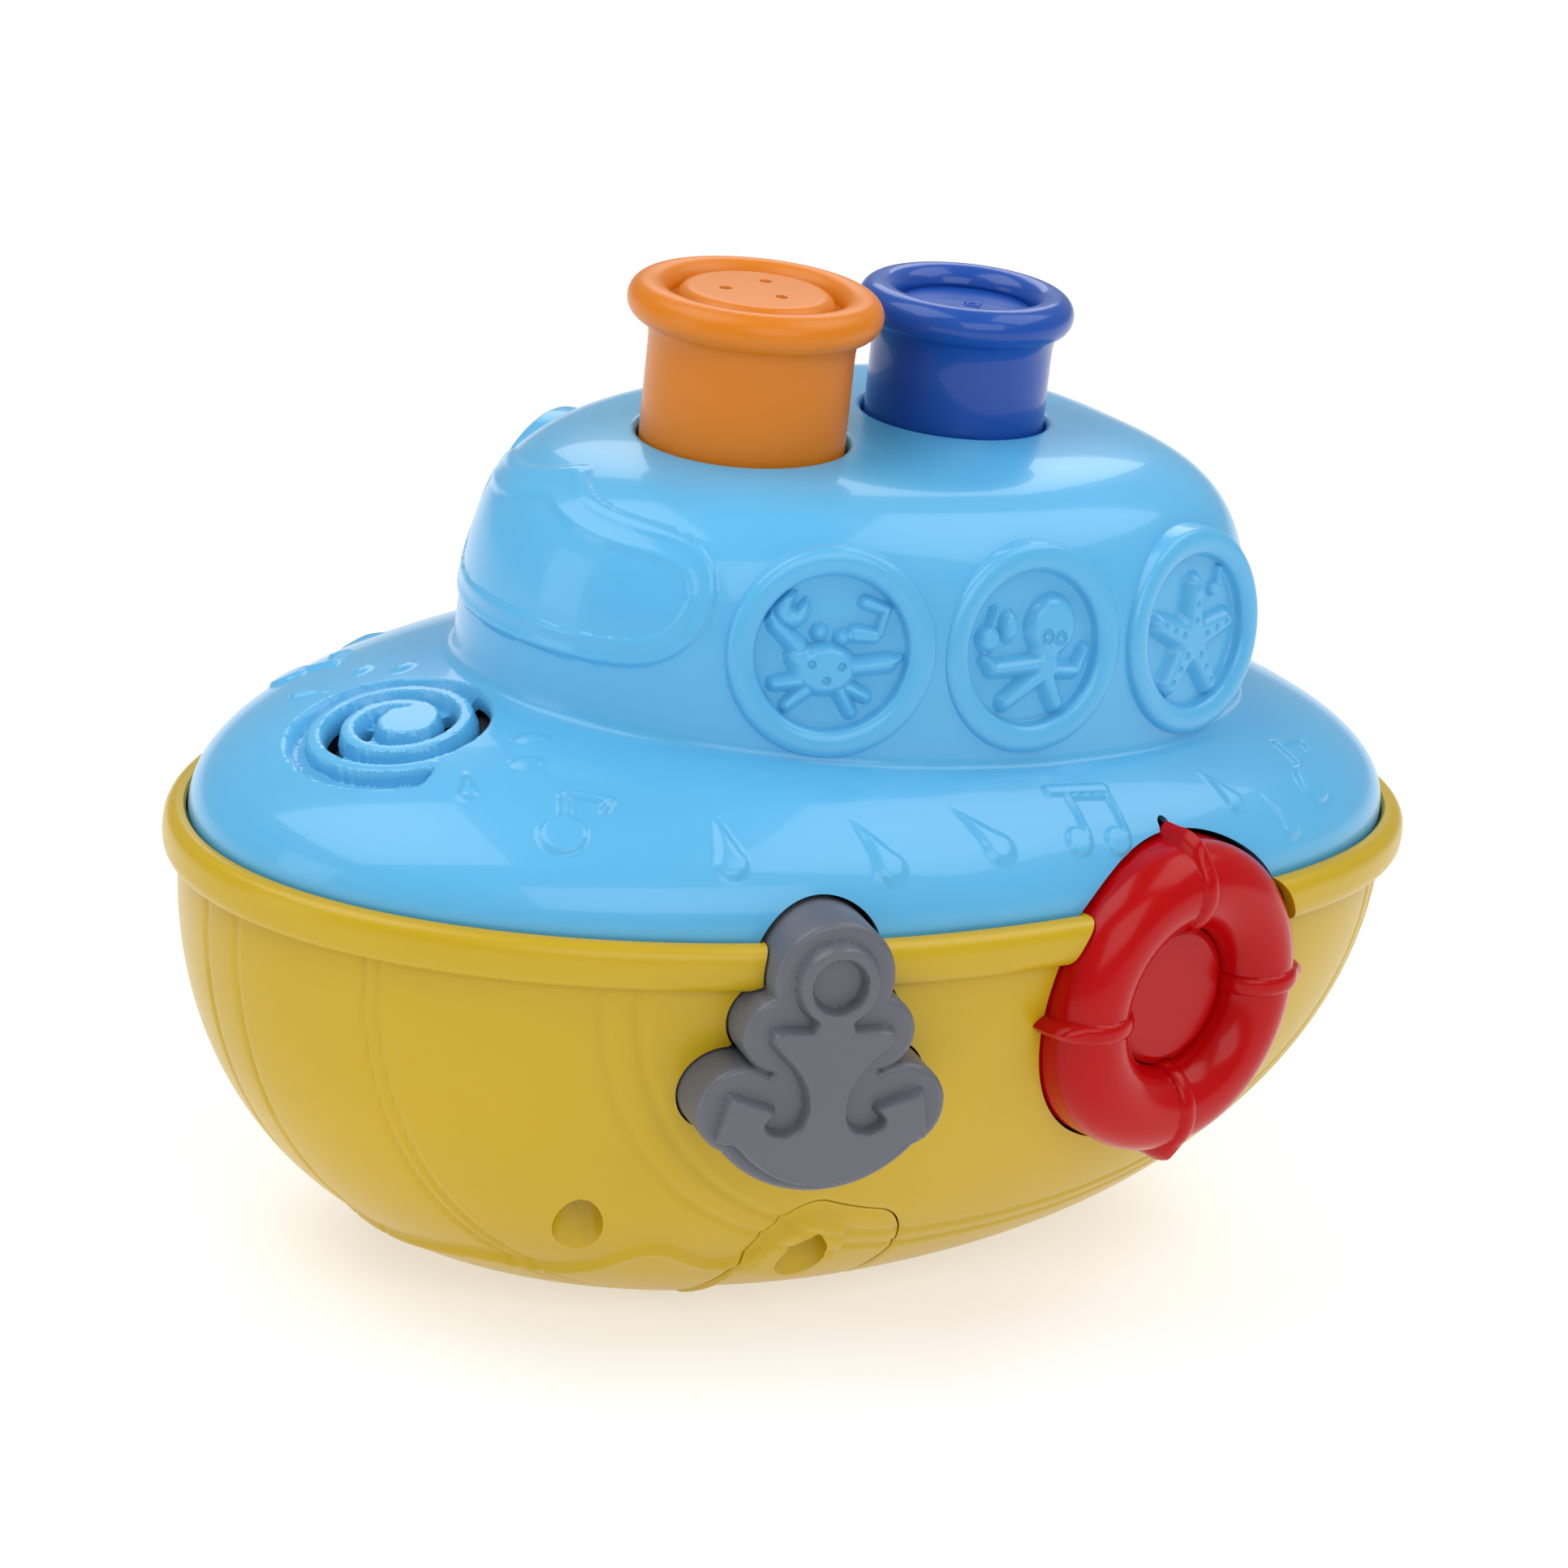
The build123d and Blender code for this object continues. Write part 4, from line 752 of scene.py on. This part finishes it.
grille_ridge = spiral(GRILLE_START, GRILLE_END, GRILLE_FIRST_R, GRILLE_LAST_R, 150)
close = np.linalg.norm(deck_points - grille_place[0], axis=1) < 25
flat = to_local(deck_points[close], grille_place)[:, :2]
# the pan's edge winds outward with the coil, and closes on the coil's end
around = (np.degrees(np.arctan2(flat[:, 1], flat[:, 0])) - GRILLE_END) % 360
pan_reach = np.minimum(13.8 + 0.0190 * around, 17.4 + 0.35 * (360 - around))
pan_edge = np.linalg.norm(flat, axis=1) - pan_reach
pan = -PAN_DEPTH * np.clip(0.5 - pan_edge / PAN_WALL, 0, 1)
coil = union(polyline(flat, grille_ridge) - COIL_HALF_WIDTH, circle(flat, KNOB, KNOB_R))
deck_height[close] += np.maximum(pan, raised(coil, PAN_DEPTH + COIL_LIFT, 0.9) - PAN_DEPTH)

# the funnels' holes have a small rounded mouth
FUNNEL_HOLES, MOUTH_R = ((ORANGE_X, ORANGE_HOLE_R), (BLUE_X, BLUE_HOLE_R)), 1.2
for x, r in FUNNEL_HOLES:
    d = circle(deck_points[:, :2], (x, 0), r)
    near = (deck_points[:, 2] > 125) & (d < MOUTH_R)
    inset = MOUTH_R - d[near].clip(0, MOUTH_R)
    deck_height[near] -= MOUTH_R - np.sqrt(np.clip(MOUTH_R**2 - inset**2, 0, None))

deck_skin = deck_points + deck_normals * deck_height[:, None]

# under each porthole the wall is sunk out of the way of the porthole's own face
for centre, heading, tilt in PORTHOLES:
    for side in (1, -1):
        place = local_frame(centre, heading, tilt, side)
        local = to_local(deck_skin, place)
        under = (circle(local[:, :2], (0, 0), PORTHOLE_RING_R) < 0) & (np.abs(local[:, 2]) < 12)
        local[under, 2] = np.minimum(local[under, 2], -3.0)
        deck_skin[under] = from_local(local[under], place)

faces = [ring_quads(DECK_COUNT, DECK_COLUMNS, flip=True)]
p, f, v = cut(deck_skin, faces, passage_value(deck_skin, DECK_GAP))
p, f = skirt(p, f, v, lambda q: inward(q, WALL))
holes = clear_of(p)
for x, r in FUNNEL_HOLES:
    holes = np.minimum(holes, np.where(p[:, 2] > 120, circle(p[:, :2], (x, 0), r), FAR))
p, f, v = cut(p, f, holes)
p, f = skirt(p, f, v, lambda q: q - [0, 0, 3.0])
slots = clear_of(p)
close = np.linalg.norm(p - grille_place[0], axis=1) < 22
flat = to_local(p[close], grille_place)[:, :2]
value = clear_of(flat)
for start, finish in SLOTS:
    run = spiral(start, finish, grille_radius(start) + PITCH / 2, grille_radius(finish) + PITCH / 2, 40)
    value = np.minimum(value, polyline(flat, run) - SLOT_HALF_WIDTH)
slots[close] = value
p, f, v = cut(p, f, slots)
p, f = skirt(p, f, v, lambda q: q - grille_normal * 2.0)
deck = make("deck_shell", p, f, LIGHT_BLUE, "boat")
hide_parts("deck")


# ------------------------------------------------------------------ portholes
def crab(p):
    """Crab holding up a note."""
    body = soft_union(ellipse(p, (-0.8, -2.6), 5.0, 4.0), circle(p, (-5.0, -0.8), 1.9), 1.2)
    stalks = union(circle(p, (-1.9, 2.9), 1.25), circle(p, (1.6, 2.2), 1.25))
    claw = np.maximum(circle(p, (-6.4, 6.2), 2.8), -capsule(p, (-6.0, 6.8), (-4.2, 9.8), 0.3, 1.3))
    arms = union(
        capsule(p, (-5.0, 0.6), (-8.6, 3.8), 1.5, 1.3),
        capsule(p, (-8.6, 3.8), (-9.6, 5.2), 1.3, 0.9),
        capsule(p, (3.6, -2.2), (8.8, -1.4), 1.5, 1.5),
        capsule(p, (8.8, -1.4), (10.6, -0.6), 1.4, 0.6),
    )
    legs = union(
        capsule(p, (-4.6, -4.4), (-8.2, -5.0), 1.4, 1.1),
        capsule(p, (-3.6, -5.8), (-6.2, -8.2), 1.4, 1.0),
        capsule(p, (2.8, -5.2), (5.8, -6.6), 1.3, 1.0),
        capsule(p, (1.8, -5.8), (3.6, -9.0), 1.3, 1.0),
    )
    note = union(
        capsule(p, (3.6, 2.9), (6.4, 2.6), 1.4, 1.2),
        capsule(p, (7.2, 3.0), (8.0, 6.6), 0.8),
        capsule(p, (4.8, 7.6), (8.0, 6.6), 1.1, 0.9),
    )
    h = raised(union(body, stalks, claw, arms, legs) - 0.25, 2.1, 1.7) + raised(note - 0.15, 1.6, 1.0)
    for spot in ((-3.0, -1.8), (1.6, -2.0), (-0.6, -4.2)):
        h -= raised(circle(p, spot, 0.75), 0.6, 0.5)
    return h


def octopus(p):
    """Octopus with a shaker in one arm."""
    head = soft_union(ellipse(p, (3.6, 3.0), 4.6, 4.9), ellipse(p, (2.6, -3.0), 2.6, 3.2), 1.5)
    arms = union(
        capsule(p, (1.4, -2.6), (-6.8, -2.8), 1.7, 1.5),
        capsule(p, (-6.8, -2.8), (-8.4, -1.2), 1.4, 1.0),
        capsule(p, (1.4, -4.4), (-4.6, -8.0), 1.8, 1.5),
        capsule(p, (2.8, -4.6), (4.6, -8.8), 1.8, 1.6),
        capsule(p, (4.2, -3.8), (8.0, -4.2), 1.4, 1.3),
        capsule(p, (8.0, -4.2), (9.8, -1.0), 1.3, 1.0),
    )
    shaker = union(
        circle(p, (-7.8, 1.9), 2.2),
        capsule(p, (-7.6, 3.4), (-6.6, 6.0), 0.9),
        ellipse(p, (-4.0, 3.4), 1.7, 2.6),
    )
    h = raised(union(head, arms) - 0.2, 2.1, 1.8) + raised(shaker - 0.15, 1.8, 1.4)
    for spot in ((2.2, 1.6), (4.6, 1.2)):
        h -= ridge(circle(p, spot, 0.8), 0.5, 0.4)
    return h


def starfish(p):
    """Starfish with rows of spots, and a note by its upper arm."""
    middle, reach = (-0.2, -1.4), 8.4
    tips = [arc(middle, reach, 84 + 72 * k, 84 + 72 * k, 1)[0] for k in range(5)]
    star = circle(p, middle, 3.2)
    for tip in tips:
        star = soft_union(star, capsule(p, middle, tip, 2.7, 2.0), 1.0)
    h = raised(star - 0.2, 2.0, 1.8)
    for x, y in tips:
        for share in (0.35, 0.65, 0.95):
            spot = (middle[0] + (x - middle[0]) * share, middle[1] + (y - middle[1]) * share)
            h -= raised(circle(p, spot, 0.6), 0.5, 0.45)
    note = union(circle(p, (5.6, 5.6), 1.3), capsule(p, (6.4, 5.8), (7.2, 9.0), 0.8))
    return h + raised(note, 1.2, 0.8)


def porthole(name, place, draw):
    """Domed ring, sunk face and moulded relief, as one polar mesh."""
    radii = [18.3, 18.1, 17.9, 17.75]
    levels = [-7.0, -4.0, -2.4, -1.6]
    for k in range(1, 24):
        turn = pi * k / 24
        radii.append(PORTHOLE_RING_R + 2.3 * cos(turn))
        levels.append(-1.5 + 1.45 * sin(turn) ** 0.8)
    radii += [13.0, 12.8, 12.6, 12.45]
    levels += [-1.7, -2.2, -2.45, -2.5]
    for r in np.linspace(12.3, 0.05, 100):
        radii.append(r)
        levels.append(-2.5)
    columns = 420
    turn = np.linspace(0, 2 * pi, columns, endpoint=False)
    radii, levels = np.array(radii), np.array(levels)
    flat = np.stack([np.outer(radii, np.cos(turn)).ravel(), np.outer(radii, np.sin(turn)).ravel()], 1)
    rise = np.repeat(levels, columns)
    inner = np.repeat(radii < PORTHOLE_R, columns)
    rise[inner] += draw(flat[inner] * 0.9)
    points = from_local(np.column_stack([flat, rise]), place)
    piece = make(name, points, [ring_quads(len(radii), columns)], LIGHT_BLUE, "boat")


motifs = (("fore", crab), ("middle", octopus), ("aft", starfish))
for (centre, heading, tilt), (order, draw) in zip(PORTHOLES, motifs):
    for side, label in ((1, "port"), (-1, "starboard")):
        place = local_frame(centre, heading, tilt, side)
        porthole("porthole_" + label + "_" + order, place, draw)


# ------------------------------------------------------------------ funnels
def turned(name, x, profile, material, body, columns, relief):
    """A piece turned about the upright line at x, from (radius, height) points, with relief on top."""
    profile = np.array(profile, float)
    turn = np.linspace(0, 2 * pi, columns, endpoint=False)
    r, z = profile[:, :1], profile[:, 1:]
    points = np.stack([x + r * np.cos(turn), r * np.sin(turn), z + 0 * turn], -1).reshape(-1, 3)
    points[:, 2] += relief(points[:, :2] - [x, 0])
    return make(name, points, [ring_quads(len(profile), columns)], material, body)


def funnel_outside(hole_r, rim_r, rim_z):
    """Profile up the stem and over the rolled rim."""
    stem, tube = hole_r - 0.5, 3.5
    outline = [(hole_r + 1.2, 134.6), (hole_r + 1.2, 136.4), (stem, 136.5)]
    outline += [(stem, z) for z in np.linspace(138, rim_z - 8, 12)]
    outline += [(stem + 0.05, rim_z - 6.2), (stem + 0.25, rim_z - 4.6), (stem + 0.7, rim_z - 3.5)]
    return outline + arc((rim_r - tube, rim_z), tube, -70, 178, 44)


orange_profile = funnel_outside(ORANGE_HOLE_R, ORANGE_RIM_R, ORANGE_RIM_Z)
orange_profile += arc((14.3, ORANGE_RIM_Z - 0.6), 0.5, 180, 270, 6)[1:]
orange_profile += arc((13.5, ORANGE_RIM_Z - 0.6), 0.5, 270, 350, 6)
orange_profile += arc((10.9, ORANGE_RIM_Z + 0.3), 2.6, 15, 90, 14)
for r in np.linspace(10.5, 0.05, 70):
    orange_profile.append((r, ORANGE_RIM_Z + 2.9 + 0.12 * (1 - (r / 10.5) ** 2)))


def three_holes(flat):
    """Small blind holes in the orange funnel's top."""
    r = np.linalg.norm(flat, axis=1)
    dip = np.zeros(len(flat))
    for spot in arc((0, 0), 5.6, 100, 340, 3):
        dip -= 1.6 * np.clip((1.05 - circle(flat, spot, 0)) / 0.35, 0, 1)
    return np.where(r < 10, dip, 0)


orange = turned("orange_plunger", ORANGE_X, orange_profile, ORANGE, "orange_funnel", 420, three_holes)
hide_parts("orange_funnel")

blue_profile = funnel_outside(BLUE_HOLE_R, BLUE_RIM_R, BLUE_RIM_Z)
blue_profile += arc((12.1, BLUE_RIM_Z + 0.7), 0.6, 160, 270, 6)[1:]
blue_profile += [(r, BLUE_RIM_Z + 0.1) for r in np.linspace(11.8, 0.05, 60)]


def small_mark(flat):
    """Faint diamond on the blue funnel's top."""
    d = np.abs(flat - [-1.0, 0.5]).sum(1)
    return 0.35 * np.clip((2.2 - d) / 0.8, 0, 1) - 0.35 * np.clip((1.1 - d) / 0.6, 0, 1)


blue = turned("blue_plunger", BLUE_X, blue_profile, DARK_BLUE, "blue_funnel", 300, small_mark)
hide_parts("blue_funnel")


# ------------------------------------------------------------------ anchor button
def anchor_shape(p):
    """Distance to the anchor: ring, stock, shank and two flukes on a curved crown."""
    eye = soft_union(circle(p, (0, 13.3), 7.2), capsule(p, (0, 8), (0, 4), 3.0, 4.6), 1.0)
    stock = [(3.0, 6.0), (9.8, 5.9), (10.9, 4.9), (10.8, 3.3), (9.6, 2.0)]
    shank = [(6.3, -1.2), (4.1, -4.8), (3.7, -8.4), (4.5, -11.0), (6.4, -12.1)]
    fluke = [(8.8, -11.8), (10.4, -10.5), (8.2, -8.5), (8.7, -7.7), (16.3, -5.2), (17.1, -5.6)]
    crown = [(18.4, -13.3), (17.8, -14.1), (15.2, -14.1), (11.8, -17.8), (7.0, -20.7), (2.4, -21.9)]
    side = stock + shank + fluke + crown
    body = polygon(p, rounded(side + [(-x, y) for x, y in reversed(side)], 2))
    return np.maximum(union(eye, body), -circle(p, (0, 13.3), 4.2))


def anchor_body():
    """A block cut to its outline, with a rounded front edge and the anchor standing on its face."""
    step, half_width, half_height = 0.24, 23, 25
    edge_r, relief, depth = 1.3, 2.4, 22
    xs, ys = np.arange(-half_width, half_width, step), np.arange(-half_height, half_height, step)
    gx, gy = np.meshgrid(xs, ys)
    flat = np.stack([gx.ravel(), gy.ravel()], 1)
    d = anchor_block(flat)
    rise = -edge_r + np.sqrt(np.clip(edge_r**2 - np.clip(edge_r + d, 0, edge_r) ** 2, 0, None))
    rise += raised(anchor_shape(flat), relief, 0.85) - relief
    p, f, v = cut(np.column_stack([flat, rise]), [grid_quads(len(ys), len(xs))], -d)
    p, f = skirt(p, f, v, lambda q: np.column_stack([q[:, :2], np.full(len(q), -depth)]))
    return make("anchor_block", from_local(p, ANCHOR_PLACE), f, GREY, "anchor")


anchor = anchor_body()
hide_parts("anchor_button")


# ------------------------------------------------------------------ life ring button
def life_ring():
    """Rounded ring round a sunk disc, with four rope bands over it, as one polar mesh."""
    columns = 720
    turn = np.linspace(0, 2 * pi, columns, endpoint=False)
    radii, levels = [], []
    for depth in np.linspace(20, 9, 12):
        radii.append(RING_OUTER_R - 0.1)
        levels.append(-depth)
    centre_r = RING_OUTER_R - RING_TUBE_R
    for r, z in arc((centre_r, -RING_TUBE_R), RING_TUBE_R, -10, 185, 61):
        radii.append(r)
        levels.append(z)
    for r in np.linspace(12.2, 0.05, 40):
        radii.append(r)
        levels.append(-6.4 - 0.5 * np.clip((r - 11) / 1.2, 0, 1))
    radii, levels = np.array(radii), np.array(levels)
    r = np.outer(radii, np.ones(columns))
    z = np.outer(levels, np.ones(columns))
    over = np.clip((r - 11.5) / 1.5, 0, 1)
    lift, tip_across = np.zeros_like(r), np.full_like(r, FAR)
    for a in ROPE_BANDS:
        aside = (turn - radians(a) + pi) % (2 * pi) - pi
        across = np.abs(aside * np.clip(r, 12, None))
        lift = np.maximum(lift, np.sqrt(np.clip(1 - (across / 1.7) ** 2, 0, 1)) * over)
        tip_across = np.minimum(tip_across, across)
    outwards_r = np.clip((r - centre_r) / RING_TUBE_R, -1, 1) * (z > -16)
    outwards_z = np.sqrt(np.clip(1 - outwards_r**2, 0, 1))
    point = np.clip(1 - tip_across / 2.0, 0, 1) * np.clip((r - 25) / 1.5, 0, 1) * (z > -13)
    r = r + 1.0 * lift * outwards_r + 1.6 * point
    z = z + 0.9 * lift * outwards_z * (r > 12.4) - 0.9
    local = np.stack([r * np.cos(turn), r * np.sin(turn), z], -1).reshape(-1, 3)
    quads = ring_quads(len(radii), columns)
    return make("life_ring_body", from_local(local, RING_PLACE), [quads], RED, "life_ring")


ring = life_ring()
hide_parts("life_ring_button")

# ------------------------------------------------------------------ carried-over CAD nodes
# the finish of each material slot that part.py names
FINISHES = {
    "black_plastic": BLACK,
    "white_plastic": WHITE,
    "circuit_board": BOARD,
    "cell_can": CELL,
    "spring_steel": SPRING,
    "screw_steel": STEEL,
    "magnet": STEEL,
    "cone_paper": CONE,
    "wire_cover": WIRE,
    "yellow_plastic": YELLOW,
    "light_blue_plastic": LIGHT_BLUE,
    "orange_plastic": ORANGE,
    "dark_blue_plastic": DARK_BLUE,
    "grey_plastic": GREY,
    "red_plastic": RED,
}
for part in frame["record"]["subparts"]:
    node = frame["nodes"][part["node"]]
    node.data.materials.clear()
    node.data.materials.append(FINISHES[part["material_slot"]])

# ------------------------------------------------------------------ floor, camera and light
floor_material = bpy.data.materials.new("floor")
floor_material.use_nodes = True
floor_shader = floor_material.node_tree.nodes["Principled BSDF"]
floor_shader.inputs["Roughness"].default_value = 0.9
floor_shader.inputs["Base Color"].default_value = (0.62, 0.62, 0.62, 1)
# a faint glow of its own keeps the floor near white under the soft lamps
floor_shader.inputs["Emission Color"].default_value = (1, 1, 1, 1)
floor_shader.inputs["Emission Strength"].default_value = 0.52
FLOOR_SIZE, FLOOR_Z = 12, -0.0002  # just under the hull's foot, so that the two faces don't coincide
bpy.ops.mesh.primitive_plane_add(size=FLOOR_SIZE, location=(0, 0, FLOOR_Z))
floor = bpy.context.object
floor.name = "floor"
floor.data.materials.append(floor_material)

# the camera stands where the photo was taken from; lens and sensor in millimetres, distance in metres
LENS, SENSOR = 155.776, 36
HEADING, ELEVATION, ROLL, DISTANCE = radians(51.87), radians(18.74), radians(6.24), 1.1716
back = Vector((cos(HEADING) * cos(ELEVATION), sin(HEADING) * cos(ELEVATION), sin(ELEVATION)))
level = Vector((-sin(HEADING), cos(HEADING), 0))
upright = back.cross(level)
right = cos(ROLL) * level + sin(ROLL) * upright
up = cos(ROLL) * upright - sin(ROLL) * level
target = Vector((0, 0, 0.09647)) - 0.00248 * level - 0.01796 * upright
camera = bpy.data.objects.new("camera", bpy.data.cameras.new("camera"))
camera.data.lens = LENS
camera.data.sensor_width = SENSOR
camera.data.clip_start, camera.data.clip_end = 0.05, 50
camera.matrix_world = Matrix((right, up, back)).transposed().to_4x4()
camera.location = target + back * DISTANCE
bpy.context.scene.collection.objects.link(camera)
bpy.context.scene.camera = camera


def softbox(name, heading, elevation, distance, width, height, power):
    """Rectangular area light aimed at the boat."""
    light = bpy.data.lights.new(name, "AREA")
    light.shape = "RECTANGLE"
    light.size, light.size_y, light.energy = width, height, power
    lamp = bpy.data.objects.new(name, light)
    h, e = radians(heading), radians(elevation)
    away = Vector((cos(h) * cos(e), sin(h) * cos(e), sin(e)))
    lamp.location = Vector((0, 0, 0.09)) + away * distance
    lamp.rotation_euler = away.to_track_quat("Z", "Y").to_euler()
    bpy.context.scene.collection.objects.link(lamp)


softbox("bow_top", -28, 60, 1.3, 1.1, 0.9, 8.5)
softbox("stern_top", 150, 56, 1.3, 1.1, 0.8, 6.5)
softbox("bow_low", -12, 10, 1.5, 0.6, 0.8, 2.4)
softbox("side", 74, 32, 1.6, 1.2, 0.9, 7.5)
softbox("back", 235, 35, 1.5, 0.9, 0.6, 4.0)
world = bpy.data.worlds.new("studio")
world.use_nodes = True
world.node_tree.nodes["Background"].inputs["Color"].default_value = (1, 1, 1, 1)
world.node_tree.nodes["Background"].inputs["Strength"].default_value = 0.36
bpy.context.scene.world = world
bpy.context.scene.view_settings.view_transform = "Standard"
